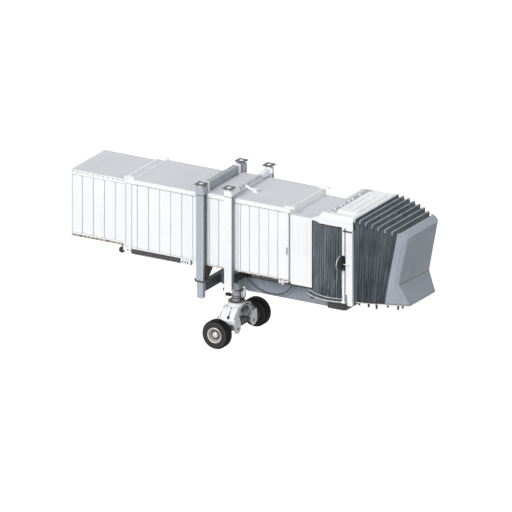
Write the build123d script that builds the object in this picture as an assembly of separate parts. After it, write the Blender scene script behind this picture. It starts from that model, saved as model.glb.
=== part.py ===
from build123d import *
from math import cos, pi, radians, sin
import os

# An apron jet bridge, cut off at the wall. X runs from the wall to the cab, Y across, Z up.
# The origin is on the wall face of the sill, in the middle of the tunnel.

# Tunnel lengths, from the wall
A_LENGTH = 6000.0
B_START, B_LENGTH = 2610.0, 7290.0
BC_LAP, C_LENGTH = 3300.0, 4000.0
C_START = B_START + B_LENGTH - BC_LAP
C_END = C_START + C_LENGTH
ROLLER_SMALL = 60.0

# Tunnel sections: half widths and heights grow outwards from tunnel A
A_HALF, A_TOP, A_BOTTOM = 1390.0, 2780.0, -140.0
RUN_GAP = 15.0
SHEET, PAN = 20.0, 25.0
WALL = SHEET + PAN
ROOF_THICK, DECK_THICK = 60.0, 60.0
FASCIA_TALL = 190.0
PAN_GROOVE, PAN_RADIUS, PAN_MARGIN = 42.0, 70.0, 30.0
CHORD_WIDE, BEARER_WIDE, BEARER_PITCH = 90.0, 60.0, 1100.0

B_HALF = A_HALF + RUN_GAP + WALL
B_TOP = A_TOP + RUN_GAP + ROOF_THICK
B_DECK = A_BOTTOM - RUN_GAP
B_BOTTOM = B_DECK - DECK_THICK
C_HALF = B_HALF + RUN_GAP + WALL
C_TOP = B_TOP + RUN_GAP + ROOF_THICK
C_DECK = B_BOTTOM - RUN_GAP
C_BOTTOM = C_DECK - DECK_THICK
A_DECK = 40.0
AB_PITCH = 533.0

# Wall flange
FLANGE_DEEP, FLANGE_WIDE = 90.0, 110.0
BOLT_R, BOLT_Y, BOLT_LOW, BOLT_HIGH = 13.0, 1335.0, 20.0, 2720.0

# Ring frame at the inner end of tunnel B
RING_DEEP, RING_PROUD = 90.0, 22.0
BLOCK_LONG, BLOCK_WIDE, BLOCK_TALL = 490.0, 150.0, 70.0
RIB_WIDE, RIB_TALL = 55.0, 34.0
ROLLER_R, ROLLER_X, ROLLER_WIDE = 95.0, B_START - 110.0, 80.0
SIDE_GAP, PLATE = 6.0, 34.0

# Cable chain under tunnel B
CHAIN_START, CHAIN_CLEAR = B_START + 350.0, 1000.0
CHAIN_LENGTH = C_START - CHAIN_CLEAR - CHAIN_START
CHAIN_WIDE, CHAIN_TALL, LINK_PITCH = 150.0, 105.0, 120.0
CHAIN_Y = -1330.0

# Vestibule between tunnel C and the cab
V_HALF, V_TOP, V_BOTTOM = 1460.0, 2660.0, -430.0
V_WALL, V_ROOF = 45.0, 60.0
GAP_LINE = 40.0
TRAY_START, TRAY_END = C_START + 2150.0, C_START + 3460.0

# Cab pivot and drum
PIVOT_X = C_END + 2050.0
CURTAIN_R, CURTAIN_DEEP, CURTAIN_PLEATS = 1735.0, 34.0, 20
CURTAIN_LOW, CURTAIN_HIGH = -590.0, 2590.0
CURTAIN_FROM, CURTAIN_TO = 62.5, 121.0
DRUM_GAP = 15.0
RING_R, RING_IN, RING_LOW, RING_HIGH = CURTAIN_R + 180.0, CURTAIN_R - 45.0, -665.0, -615.0

# Blue-grey lifting portal
BLUE_X, BLUE_Y = C_START - 140.0, 1680.0
BLUE_LONG, BLUE_DEEP, TUBE_WALL = 333.0, 290.0, 22.0
BLUE_LOW, BLUE_HIGH = -917.0, 3240.0
BLUE_FOOT, LEG_TOP = -1654.0, 700.0
LEG_GAP = 6.0
COLLAR_PROUD, COLLAR_TALL = 34.0, 42.0
CROSS_LOW, CROSS_HIGH, CROSS_LONG = -1425.0, -1008.0, 230.0
TOP_LOW, TOP_HIGH, TOP_LONG = 2962.0, 3285.0, 240.0

# White portal
WHITE_X, WHITE_Y = C_START + 1196.0, 1672.0
WHITE_LONG, WHITE_DEEP = 346.0, 208.0
WHITE_LOW, WHITE_HIGH = -1142.0, 3290.0
TIE_LOW, TIE_HIGH, TIE_LONG = -895.0, -640.0, 180.0
SPAN_LOW, SPAN_HIGH, SPAN_LONG = 3065.0, 3190.0, 130.0
END_BRACKET = 620.0
CAP_SIDE, CAP_THICK, NECK_R, NECK_TALL = 430.0, 36.0, 105.0, 95.0

# Central under-beam and cab base
BEAM_START, BEAM_HALF, BEAM_LOW, BEAM_HIGH = C_START + 1040.0, 400.0, -1500.0, -895.0
BASE_START, BASE_END, BASE_HALF, BASE_STEP, BASE_R = PIVOT_X - 750.0, PIVOT_X + 110.0, 567.0, -1080.0, 560.0
GUSSET_X, GUSSET_HALF, GUSSET_THICK = (C_START + 2300.0, C_START + 3820.0), 1150.0, 140.0

# Saddle, post and bogie
SADDLE_HALF, SADDLE_LOW, SADDLE_LONG = 240.0, -1600.0, 250.0
POST_X, POST_R, POST_LOW = BLUE_X + 740.0, 190.0, -2183.0
SLEW_R, SLEW_TALL = 330.0, 80.0
WHEEL_Y, WHEEL_R, WHEEL_WIDE, AXLE_Z = 1629.0, 625.0, 475.0, -3167.0
RIM_R, AXLE_R = 300.0, 85.0
LEG_Y, LEG_WIDE, YOKE_HALF = 660.0, 210.0, 430.0
PIN_R = 45.0

# Cab: half width at the columns, then the canopy that narrows to the front
CAB_DECK, CAB_BOTTOM, CAB_DISC_R = C_DECK, -512.0, CURTAIN_R - 45.0
CAB_HALF, CAB_FRONT_X = 1854.0, PIVOT_X + 1296.0
SKIRT, CAB_PLATE = 40.0, 50.0
HUB_R, SEAT_GAP = 420.0, 0.3
HOOD_START, HOOD_END, HOOD_LOW, HOOD_HIGH = PIVOT_X - 350.0, PIVOT_X + 1210.0, 2690.0, 3150.0
HOOD_SHEET, HOOD_ROUND = 40.0, 170.0
REAR_ROOF_X, REAR_ROOF_LOW = PIVOT_X - 990.0, 2672.0
FAIRING_HALF, FAIRING_TALL = 1350.0, 70.0
COLUMN_X, COLUMN_LONG, COLUMN_DEEP = PIVOT_X + 1085.0, 250.0, 150.0
COLUMN_LOW, COLUMN_PROUD = -700.0, 60.0
SOFT_GAP = 16.0
MIRROR_X, MIRROR_Z, MIRROR_R = PIVOT_X + 680.0, 1120.0, 325.0

# Canopy: where the hoops stand, from the cab to the smooth front
CANOPY_HALF, CANOPY_TOP, CANOPY_X = CAB_HALF, 3142.0, PIVOT_X + 1255.0
TIP_HALF, TIP_TOP, TIP_X = 1417.0, 2675.0, CANOPY_X + 1933.0
FOOT_HALF, FOOT_X = 1438.0, CANOPY_X + 1303.0
HOOPS, HOOP_R, HOOP_LEG = 8, 27.0, 170.0
SIDE_PLEATS, PLEAT_DEEP, SKIN = 18, 62.0, 14.0
TOP_VALLEY = 120.0
FRONT_TOP_X, FRONT_TOP_Z = TIP_X + 382.0, 2554.0
WAIST_X, WAIST_Z = TIP_X - 88.0, 333.0
LIP_X, LIP_HALF = TIP_X + 329.0, 1096.0
FRONT_SKIN, FRONT_BACK = 60.0, 68.0
TRIM_TALL, TRIM_DEEP, STUB_R = 45.0, 165.0, 38.0

# Reach of a cutting shape that goes past everything
FAR = 9000.0

# Supply cable that hangs under tunnel C, beside the under-beam
CABLE_R, GLAND_LONG = 22.0, 60.0
CABLE_ROUTE = [(C_START + x, y, z) for x, y, z in (
    (1360, -620, -700), (1610, -640, -910), (1930, -655, -1140), (2360, -665, -1290),
    (2820, -665, -1335), (3240, -655, -1255), (3510, -640, -1060), (3630, -630, -800))]


def block(x0, x1, y0, y1, z0, z1):
    """A solid between two corners."""
    return Pos((x0 + x1) / 2, (y0 + y1) / 2, (z0 + z1) / 2) * Box(x1 - x0, y1 - y0, z1 - z0)


def tube_z(x, y, z0, z1, long, deep, wall):
    """An upright rectangular tube, open at both ends."""
    outer = block(x - long / 2, x + long / 2, y - deep / 2, y + deep / 2, z0, z1)
    inner = block(x - long / 2 + wall, x + long / 2 - wall, y - deep / 2 + wall, y + deep / 2 - wall, z0, z1)
    return outer - inner


def rod(start, end, radius):
    """A round bar from one point to another."""
    run = Vector(*end) - Vector(*start)
    plane = Plane(origin=start, z_dir=run)
    return plane * Cylinder(radius, run.length, align=(Align.CENTER, Align.CENTER, Align.MIN))


def prism_xz(points, y0, y1):
    """A side view, given as X and Z, carried across from y0 to y1."""
    face = make_face(Polyline(*[(x, y0, z) for x, z in points], close=True))
    return Solid.extrude(face.face(), Vector(0, y1 - y0, 0))


def prism_yz(points, x0, x1):
    """A cross-section, given as Y and Z, carried along from x0 to x1."""
    face = make_face(Polyline(*[(x0, y, z) for y, z in points], close=True))
    return Solid.extrude(face.face(), Vector(x1 - x0, 0, 0))


def prism_xy(points, z0, z1):
    """A plan, given as X and Y, carried up from z0 to z1."""
    face = make_face(Polyline(*[(x, y, z0) for x, y in points], close=True))
    return Solid.extrude(face.face(), Vector(0, 0, z1 - z0))


def both_sides(solid):
    """The piece and its mirror image on the far side."""
    return Compound(children=[solid, solid.mirror(Plane.XZ)])


def ring_yz(x0, x1, outer, inner):
    """A rectangular frame across the tunnel; each box is half width, low and high."""
    whole = block(x0, x1, -outer[0], outer[0], outer[1], outer[2])
    return whole - block(x0, x1, -inner[0], inner[0], inner[1], inner[2])


def tunnel_floor(x0, x1, half, bottom, deck, seat, inner):
    """Deck between two side chords, with cross bearers under it."""
    floor = block(x0, x1, -inner, inner, seat - 30, deck) if deck > seat else None
    plate = block(x0, x1, -half, half, max(bottom, seat - 30), seat)
    parts = [plate, block(x0, x1, -half, -half + CHORD_WIDE, bottom, seat),
             block(x0, x1, half - CHORD_WIDE, half, bottom, seat)]
    count = int((x1 - x0) // BEARER_PITCH)
    step = (x1 - x0) / (count + 1)
    parts += [block(x0 + step * i - BEARER_WIDE / 2, x0 + step * i + BEARER_WIDE / 2,
                    -half, half, bottom, seat) for i in range(1, count + 1)]
    solid = parts[0].fuse(*parts[1:])
    return solid.fuse(floor) if floor else solid


def tunnel_roof(x0, x1, half, top):
    """Roof sheet with a fascia rail down each side."""
    inner, low = half - WALL, top - FASCIA_TALL
    points = [(-half, low), (-inner, low), (-inner, top - ROOF_THICK), (inner, top - ROOF_THICK),
              (inner, low), (half, low), (half, top), (-half, top)]
    return prism_yz(points, x0, x1)


def tunnel_wall(side, x0, x1, half, low, high, lines):
    """Flat sheet with raised pans outside; a groove runs down each of the given lines."""
    sheet = block(x0, x1, side * (half - WALL) if side > 0 else -half + PAN,
                  half - PAN if side > 0 else -half + WALL, low, high)
    edges = [x0] + list(lines) + [x1]
    pans = []
    for left, right in zip(edges, edges[1:]):
        wide, tall = right - left - PAN_GROOVE, high - low - 2 * PAN_MARGIN
        plane = Plane(origin=((left + right) / 2, side * (half - PAN), (low + high) / 2),
                      x_dir=(1, 0, 0), z_dir=(0, side, 0))
        pans.append(extrude(plane * RectangleRounded(wide, tall, min(PAN_RADIUS, wide / 3)), PAN))
    return sheet.fuse(*pans)


def pitch_lines(first, pitch, end):
    """Groove places from the first one on, up to the end."""
    return [first + pitch * i for i in range(int((end - first) / pitch) + 1) if first + pitch * i < end - 150]


def inner_end_frame():
    """Flange that bolts to the wall; tunnel A starts behind it."""
    hole = (A_HALF - FLANGE_WIDE, A_DECK, A_TOP - FLANGE_WIDE)
    frame = ring_yz(0, FLANGE_DEEP, (A_HALF, A_BOTTOM, A_TOP), hole)
    for y in (-BOLT_Y, BOLT_Y):
        for z in (BOLT_LOW, BOLT_HIGH):
            frame -= rod((-1, y, z), (FLANGE_DEEP + 1, y, z), BOLT_R)
    return frame


def tunnel_a():
    x0 = FLANGE_DEEP
    lines = pitch_lines(577, AB_PITCH, A_LENGTH)
    walls = [tunnel_wall(s, x0, A_LENGTH, A_HALF, 0, A_TOP - FASCIA_TALL, lines) for s in (-1, 1)]
    return {
        "inner_end_frame": inner_end_frame(),
        "floor_a": tunnel_floor(x0, A_LENGTH, A_HALF, A_BOTTOM, A_DECK, 0, A_HALF - WALL),
        "roof_a": tunnel_roof(x0, A_LENGTH, A_HALF, A_TOP),
        "near_wall_a": walls[0],
        "far_wall_a": walls[1],
    }


def corner_block(x0, half, top):
    """Raised housing over a roof edge."""
    y1 = half + RING_PROUD
    body = block(x0, x0 + BLOCK_LONG, y1 - BLOCK_WIDE, y1, top, top + BLOCK_TALL)
    return chamfer(body.edges().filter_by(Axis.Z), 30)


def ring_frame_b():
    """Collar round the inner end of tunnel B, with its corner blocks and roof rib."""
    outer = (B_HALF + RING_PROUD, B_BOTTOM - RING_PROUD, B_TOP + RING_PROUD)
    collar = ring_yz(B_START, B_START + RING_DEEP, outer, (B_HALF - WALL, B_DECK, B_TOP - ROOF_THICK))
    blocks = both_sides(corner_block(B_START, B_HALF, B_TOP + RING_PROUD))
    seats = both_sides(block(B_START + RING_DEEP, B_START + BLOCK_LONG, B_HALF + RING_PROUD - BLOCK_WIDE,
                             B_HALF + RING_PROUD, B_TOP, B_TOP + RING_PROUD))
    rib_x = B_START + BLOCK_LONG
    rib = block(rib_x - RIB_WIDE, rib_x, -B_HALF, B_HALF, B_TOP, B_TOP + RIB_TALL)
    return collar.fuse(*blocks.solids(), *seats.solids(), rib)


def roller(x, chord_half, chord_bottom, radius):
    """Flanged roller just under a chord, with its shaft."""
    y0 = chord_half - CHORD_WIDE
    z = chord_bottom - SEAT_GAP - radius
    drum = rod((x, y0, z), (x, y0 + ROLLER_WIDE, z), radius)
    return drum.fuse(rod((x, y0, z), (x, chord_half + SIDE_GAP - SEAT_GAP, z), 28))


def roller_plate(x, seat_x, chord_half, chord_bottom, radius):
    """Cheek plate that holds the roller shaft in front of the next tunnel."""
    z = chord_bottom - SEAT_GAP - radius
    y0 = chord_half + SIDE_GAP
    outline = [(seat_x, z + 60), (x - 50, z + 60), (x - 70, z + 20), (x - 50, z - 60), (seat_x, z - 60)]
    return prism_xz(outline, y0, y0 + PLATE)


def cable_chain():
    """Row of linked side plates, each overlapping the next."""
    high = B_BOTTOM - 0.3
    y0, y1 = CHAIN_Y - CHAIN_WIDE / 2, CHAIN_Y + CHAIN_WIDE / 2
    top = high - 25
    low = top - 2 * CHAIN_TALL - 12
    parts = [block(CHAIN_START, CHAIN_START + CHAIN_LENGTH, y0 + 18, y1 - 18, low, high)]
    for i in range(int(CHAIN_LENGTH // LINK_PITCH)):
        x = CHAIN_START + LINK_PITCH * i
        for row in (0, 1):
            z = top - row * (CHAIN_TALL + 12)
            end, foot = x + LINK_PITCH, z - CHAIN_TALL
            points = [(x + 26, z), (end, z), (end - 26, foot), (x, foot)]
            parts.append(prism_xz(points, y0, y1))
    return parts[0].fuse(*parts[1:])


def chain_brackets():
    """White end plates that hold the chain, and the tube it runs into."""
    high = B_BOTTOM
    y0, y1 = CHAIN_Y - 60, CHAIN_Y + 60
    left = block(CHAIN_START - 110, CHAIN_START - 10, y0, y1, high - 230, high)
    right = block(CHAIN_START + CHAIN_LENGTH + 10, CHAIN_START + CHAIN_LENGTH + 90, y0, y1, high - 250, high)
    return [left, right]


def tunnel_b():
    x0, x1 = B_START + RING_DEEP, B_START + B_LENGTH
    lines = [B_START + 380, B_START + 650] + pitch_lines(B_START + 1186, AB_PITCH, x1)
    low, high = B_DECK, B_TOP - FASCIA_TALL
    plate = roller_plate(ROLLER_X, B_START, A_HALF, A_BOTTOM, ROLLER_R)
    brackets = both_sides(plate).solids() + chain_brackets()
    return {
        "ring_frame_b": ring_frame_b(),
        "floor_b": tunnel_floor(x0, x1, B_HALF, B_BOTTOM, B_DECK, B_DECK, B_HALF - WALL),
        "roof_b": tunnel_roof(x0, x1, B_HALF, B_TOP),
        "near_wall_b": tunnel_wall(-1, x0, x1, B_HALF, low, high, lines),
        "far_wall_b": tunnel_wall(1, x0, x1, B_HALF, low, high, lines),
        "under_brackets_b": Compound(children=brackets),
        "rollers": both_sides(roller(ROLLER_X, A_HALF, A_BOTTOM, ROLLER_R)),
        "cable_chain": cable_chain(),
    }


def end_frame_c():
    """Outer end frame of tunnel C: the dark gap line, corner blocks and roof rib."""
    x0 = C_END
    hole = (V_HALF - V_WALL - 20, C_DECK, V_TOP - V_ROOF)
    ring = ring_yz(x0, x0 + GAP_LINE, (C_HALF - PAN, C_BOTTOM, C_TOP), hole)
    blocks = both_sides(corner_block(x0 - 250, C_HALF, C_TOP))
    rib = block(x0 - 30, x0 + GAP_LINE - 10, -C_HALF, C_HALF, C_TOP, C_TOP + RIB_TALL)
    return ring.fuse(*blocks.solids(), rib)


def c_lines():
    """Groove places of tunnel C, on either side of its doorpost."""
    return [C_START + d for d in (157, 604, 1061, 1533, 1653, 2092, 2549, 3006, 3449)]


def vestibule():
    """Plain room between tunnel C and the drum; its end is cut to the drum's circle."""
    x0 = C_END + GAP_LINE
    x1 = PIVOT_X - 300
    drum = Pos(PIVOT_X, 0, 0) * Cylinder(CURTAIN_R + CURTAIN_DEEP / 2 + DRUM_GAP, FAR)
    side = block(x0, x1, -V_HALF, -V_HALF + V_WALL, C_DECK, V_TOP - V_ROOF) - drum
    deck = block(x0, x1, -V_HALF, V_HALF, C_DECK - DECK_THICK, C_DECK)
    keel = block(x0, x1, -V_HALF, -V_HALF + CHORD_WIDE, V_BOTTOM, C_DECK - DECK_THICK)
    floor = deck.fuse(*both_sides(keel).solids()) - drum
    roof = block(x0, x1, -V_HALF, V_HALF, V_TOP - V_ROOF, V_TOP)
    cover = Pos(PIVOT_X, 0, V_TOP - V_ROOF / 2) * Cylinder(CAB_DISC_R, V_ROOF)
    return {
        "vestibule_floor": floor,
        "vestibule_walls": both_sides(side),
        "vestibule_roof": roof.fuse(cover),
    }


def cable_tray():
    """Dark tray under the near chord of tunnel C."""
    y0 = -C_HALF + 60
    low = C_BOTTOM
    points = [(y0, low), (y0 + 190, low), (y0 + 190, low - 130), (y0 + 170, low - 130),
              (y0 + 170, low - 20), (y0 + 20, low - 20), (y0 + 20, low - 130), (y0, low - 130)]
    return prism_yz(points, TRAY_START, TRAY_END)


def tray_bracket():
    """White bracket cluster where the tray meets the end frame."""
    y0 = -C_HALF + 20
    low = C_BOTTOM
    x0 = TRAY_END + 20
    parts = [block(x0, x0 + 70, y0, y0 + 220, low - 160, low),
             block(x0 + 70, x0 + 150, y0 + 60, y0 + 160, low - 150, low - 60),
             block(x0 + 150, x0 + 220, y0, y0 + 220, low - 200, low),
             block(x0 + 220, x0 + 440, y0 + 30, y0 + 190, low - 90, low)]
    return parts[0].fuse(*parts[1:])


def portal_head(x, y, high):
    """Neck and square cap on top of a column."""
    neck = Pos(x, y, high + NECK_TALL / 2) * Cylinder(NECK_R, NECK_TALL)
    cap = block(x - CAP_SIDE / 2, x + CAP_SIDE / 2, y - CAP_SIDE / 2, y + CAP_SIDE / 2,
                high + NECK_TALL, high + NECK_TALL + CAP_THICK)
    well = Pos(x, y, high + NECK_TALL + CAP_THICK) * Cylinder(NECK_R, CAP_THICK)
    return neck.fuse(cap) - well


def blue_portal():
    """Outer tubes and top beam; the inner legs slide in the tubes."""
    tube = tube_z(BLUE_X, -BLUE_Y, BLUE_LOW, TOP_LOW - 60, BLUE_LONG, BLUE_DEEP, TUBE_WALL)
    wide = COLLAR_PROUD * 2
    collar = tube_z(BLUE_X, -BLUE_Y, BLUE_LOW - COLLAR_TALL / 2, BLUE_LOW + COLLAR_TALL / 2,
                    BLUE_LONG + wide, BLUE_DEEP + wide, COLLAR_PROUD + TUBE_WALL + LEG_GAP - SEAT_GAP)
    head = block(BLUE_X - BLUE_LONG / 2 - 12, BLUE_X + BLUE_LONG / 2 + 12,
                 -BLUE_Y - BLUE_DEEP / 2 - 12, -BLUE_Y + BLUE_DEEP / 2 + 12, TOP_LOW - 60, BLUE_HIGH)
    column = tube.fuse(collar, head)
    inner = BLUE_Y - BLUE_DEEP / 2 - 12
    beam = block(BLUE_X - TOP_LONG / 2, BLUE_X + TOP_LONG / 2, -inner, inner, TOP_LOW, TOP_HIGH)
    half = TOP_LONG / 2 + 18
    sleeves = [block(BLUE_X - half, BLUE_X + half, y, y + deep, TOP_LOW - 18, TOP_HIGH + 18)
               for y, deep in ((-inner, 130), (0, 40), (inner - 420, 60), (inner - 300, 300))]
    return {
        "blue_columns": both_sides(column),
        "blue_top_beam": beam.fuse(*sleeves),
    }


def portal_bracket():
    """Tapered bracket that carries tunnel C on the blue column."""
    x0, x1 = C_START + 10, C_START + 90
    edge = BLUE_Y - BLUE_DEEP / 2
    low = BLUE_LOW + COLLAR_TALL / 2
    wing = prism_yz([(-edge, C_BOTTOM), (-1000, C_BOTTOM), (-1000, C_BOTTOM - 90), (-edge, low)], x0, x1)
    link = block(BLUE_X + BLUE_LONG / 2, x1, -edge - 120, -edge, low, C_BOTTOM)
    return wing.fuse(link)


def white_portal():
    inner = WHITE_Y - WHITE_DEEP / 2
    outer = WHITE_Y + WHITE_DEEP / 2
    x0, x1 = WHITE_X - WHITE_LONG / 2, WHITE_X + WHITE_LONG / 2
    column = tube_z(WHITE_X, -WHITE_Y, WHITE_LOW, WHITE_HIGH - 250, WHITE_LONG, WHITE_DEEP, TUBE_WALL)
    head = block(x0 - 10, x1 + 10, -outer - 10, -inner, WHITE_HIGH - 250, WHITE_HIGH)
    foot = block(x0 - 20, x1 + 20, -outer - 20, -inner + 10, WHITE_LOW, WHITE_LOW + 36)
    beam = block(WHITE_X - SPAN_LONG / 2, WHITE_X + SPAN_LONG / 2, -inner + END_BRACKET, inner - END_BRACKET,
                 SPAN_LOW, SPAN_HIGH)
    bracket = prism_yz([(-inner, SPAN_LOW - 60), (-inner + END_BRACKET, SPAN_LOW - 10),
                        (-inner + END_BRACKET, SPAN_HIGH + 10), (-inner, WHITE_HIGH - 20)],
                       WHITE_X - SPAN_LONG / 2 - 40, WHITE_X + SPAN_LONG / 2 + 40)
    heads = ((BLUE_X, BLUE_Y, BLUE_HIGH), (WHITE_X, WHITE_Y, WHITE_HIGH))
    caps = [portal_head(x, side * y, high) for x, y, high in heads
            for side in (-1, 1)]
    return {
        "white_columns": both_sides(column.fuse(head, foot)),
        "white_top_beam": beam.fuse(*both_sides(bracket).solids()),
        "portal_caps": Compound(children=caps),
    }


def roof_stay():
    """Flat stay from the white top beam down to a foot on the roof of tunnel C."""
    foot_x, foot_y = WHITE_X + 574, -410
    foot = block(foot_x - 110, foot_x + 90, foot_y - 70, foot_y + 70, C_TOP, C_TOP + 26)
    x0, z0 = WHITE_X + SPAN_LONG / 2, SPAN_LOW + 60
    bar = prism_xz([(x0, z0 - 45), (foot_x - 60, C_TOP + 26), (foot_x + 50, C_TOP + 26), (x0, z0 + 55)],
                   foot_y - 45, foot_y + 45)
    return bar.fuse(foot)


def under_beam():
    """Box girder with a round nose, hung from the tie beam and from two saddles."""
    nose = BEAM_START + BEAM_HALF
    end = BASE_START
    plan = [(nose, -BEAM_HALF), (end, -BEAM_HALF), (end, BEAM_HALF), (nose, BEAM_HALF)]
    body = prism_xy(plan, BEAM_LOW, BEAM_HIGH)
    middle = (BEAM_LOW + BEAM_HIGH) / 2
    return body.fuse(Pos(nose, 0, middle) * Cylinder(BEAM_HALF, BEAM_HIGH - BEAM_LOW))


def cross_members():
    """Tie beam of the white portal, and the saddles between the under-beam and the floor above it."""
    inner = WHITE_Y - WHITE_DEEP / 2
    tie = block(WHITE_X - TIE_LONG / 2, WHITE_X + TIE_LONG / 2, -inner, inner, TIE_LOW, TIE_HIGH)
    taper = [(-BEAM_HALF, BEAM_HIGH), (BEAM_HALF, BEAM_HIGH),
             (GUSSET_HALF, C_BOTTOM), (-GUSSET_HALF, C_BOTTOM)]
    saddles = [prism_yz(taper, x - GUSSET_THICK / 2, x + GUSSET_THICK / 2) for x in GUSSET_X]
    return Compound(children=[tie] + saddles + both_sides(portal_bracket()).solids())


def cab_base():
    """Boxed end of the beam with the round bearing under the cab, and arms that carry the drum ring."""
    box = block(BASE_START, BASE_END, -BASE_HALF, BASE_HALF, BEAM_LOW, BASE_STEP)
    box = chamfer(box.edges().filter_by(Axis.Z).sort_by(Axis.X)[-2:], 90)
    core = box.fuse(Pos(PIVOT_X, 0, (BASE_STEP + RING_LOW) / 2) * Cylinder(BASE_R, RING_LOW - BASE_STEP))
    arm = block(BASE_R - 60, RING_R - 40, -60, 60, RING_LOW - 130, RING_LOW)
    arms = [Pos(PIVOT_X, 0, 0) * Rot(0, 0, angle) * arm
            for angle in (60, 120, 180, 240, 300)]
    return core.fuse(*arms)


def arc_plate(radius, inner, low, high, start, sweep):
    """A flat ring segment round the cab pivot; angles are from the X axis."""
    plane = Plane(origin=(PIVOT_X, 0, low))
    with_arcs = [CenterArc((0, 0, 0), radius, start, sweep), CenterArc((0, 0, 0), inner, start, sweep)]
    ends = [Line(with_arcs[0] @ 0, with_arcs[1] @ 0), Line(with_arcs[0] @ 1, with_arcs[1] @ 1)]
    return extrude(plane * make_face(with_arcs + ends), high - low)


def drum_ring():
    """Curved sill under the side curtains."""
    near = arc_plate(RING_R, RING_IN, RING_LOW, RING_HIGH, -130, 74)
    return Compound(children=[near, near.mirror(Plane.XZ)])


def supply_cable():
    """Cable that hangs free between two glands; straight runs with tangent arcs between them."""
    points = [Vector(*p) for p in CABLE_ROUTE]
    radii = []
    for a, b, c in zip(points, points[1:], points[2:]):
        turn = radians((b - a).get_angle(c - b))
        radii.append(0.45 * min((b - a).length, (c - b).length) / (sin(turn / 2) / cos(turn / 2)))
    print("cable radii", [round(r) for r in radii])
    path = FilletPolyline(*points, radius=radii)
    section = Plane(origin=path @ 0, z_dir=path % 0) * Circle(CABLE_R)
    cable = sweep(section, path=path)
    ratio = cable.volume / (pi * CABLE_R ** 2 * path.length)
    print("cable length", round(path.length), "volume ratio", round(ratio, 4))
    return cable


def cable_glands():
    """Sockets that hold both ends of the cable, on hangers from the tie beam and from the floor."""
    parts = []
    for end, after in ((CABLE_ROUTE[0], CABLE_ROUTE[1]), (CABLE_ROUTE[-1], CABLE_ROUTE[-2])):
        out = (Vector(*end) - Vector(*after)).normalized()
        tip = Vector(*end) + out * GLAND_LONG
        parts.append(rod(tuple(end), tuple(tip), CABLE_R + 16))
    return parts


def glands():
    first, last = cable_glands()
    tie_face = WHITE_X + TIE_LONG / 2
    x, y, z = CABLE_ROUTE[0]
    clip = block(tie_face, x - CABLE_R, y - 60, y + 60, z, z + GLAND_LONG)
    x, y, z = CABLE_ROUTE[-1]
    hanger = block(x - 80, x + 60, y - 60, y + 60, z + GLAND_LONG, C_BOTTOM)
    return Compound(children=[first.fuse(clip).solids()[0], last.fuse(hanger).solids()[0]])


def tunnel_c():
    x0, x1 = C_START, C_END
    low, high = C_DECK, C_TOP - FASCIA_TALL
    roller_x = C_START - 85
    rollers_c = both_sides(roller(roller_x, B_HALF, B_BOTTOM, ROLLER_SMALL)).solids()
    plates_c = both_sides(roller_plate(roller_x, C_START, B_HALF, B_BOTTOM, ROLLER_SMALL)).solids()
    nodes = {
        "rollers_c": Compound(children=rollers_c + plates_c),
        "floor_c": tunnel_floor(x0, x1, C_HALF, C_BOTTOM, C_DECK, C_DECK, C_HALF - WALL),
        "roof_c": tunnel_roof(x0, x1, C_HALF, C_TOP),
        "near_wall_c": tunnel_wall(-1, x0, x1, C_HALF, low, high, c_lines()),
        "far_wall_c": tunnel_wall(1, x0, x1, C_HALF, low, high, c_lines()),
        "end_frame_c": end_frame_c(),
        "cable_tray": cable_tray(),
        "tray_bracket": tray_bracket(),
        "roof_stay": roof_stay(),
        "under_beam": under_beam(),
        "cross_members": cross_members(),
        "cab_base": cab_base(),
        "drum_ring": drum_ring(),
        "supply_cable": supply_cable(),
        "cable_glands": glands(),
    }
    nodes.update(vestibule())
    nodes.update(blue_portal())
    nodes.update(white_portal())
    return nodes


def blend(start, end, t, power=1.0):
    """A value that leaves start slowly and reaches end at t = 1."""
    return start + (end - start) * t ** power


def carriage():
    """Inner legs, cross beam and saddle that hang the bogie from the blue portal."""
    slack = 2 * (TUBE_WALL + LEG_GAP)
    long, deep = BLUE_LONG - slack, BLUE_DEEP - slack
    leg = tube_z(BLUE_X, -BLUE_Y, BLUE_FOOT, LEG_TOP, long, deep, TUBE_WALL)
    foot = block(BLUE_X - long / 2 + 40, BLUE_X + long / 2 - 40, -BLUE_Y - deep / 2 + 40,
                 -BLUE_Y + deep / 2 - 40, BLUE_FOOT - 36, BLUE_FOOT + 60)
    foot_plate = block(BLUE_X - long / 2 + 10, BLUE_X + long / 2 - 10, -BLUE_Y - deep / 2 + 10,
                       -BLUE_Y + deep / 2 - 10, BLUE_FOOT, BLUE_FOOT + 30)
    reach = BLUE_Y - deep / 2
    face = BLUE_X + CROSS_LONG / 2
    cross = block(BLUE_X - CROSS_LONG / 2, face, -reach, reach, CROSS_LOW, CROSS_HIGH)
    tail = POST_X + SADDLE_LONG
    saddle = prism_xz([(face, CROSS_HIGH), (tail, CROSS_HIGH - 90), (tail, SADDLE_LOW),
                       (POST_X - POST_R - 60, SADDLE_LOW), (face, CROSS_LOW)], -SADDLE_HALF, SADDLE_HALF)
    post = Pos(POST_X, 0, (POST_LOW + SADDLE_LOW) / 2) * Cylinder(POST_R, SADDLE_LOW - POST_LOW)
    band = Pos(POST_X, 0, SADDLE_LOW - 300) * Cylinder(POST_R + 18, 40)
    slew = Pos(POST_X, 0, POST_LOW - SLEW_TALL / 4) * Cylinder(SLEW_R, SLEW_TALL / 2)
    motor_z = SADDLE_LOW - 170
    can = rod((POST_X - POST_R - 90, -60, motor_z), (POST_X - POST_R - 400, -60, motor_z), 75)
    neck = rod((POST_X - POST_R + 40, -60, motor_z), (POST_X - POST_R - 90, -60, motor_z), 45)
    return {
        "inner_legs": both_sides(leg.fuse(foot, foot_plate)),
        "cross_beam": cross,
        "saddle_beam": saddle,
        "slewing_post": post.fuse(band, slew),
        "drive_motor": (can.fuse(neck)) - Pos(POST_X, 0, motor_z) * Cylinder(POST_R + 0.2, 400),
    }


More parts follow.
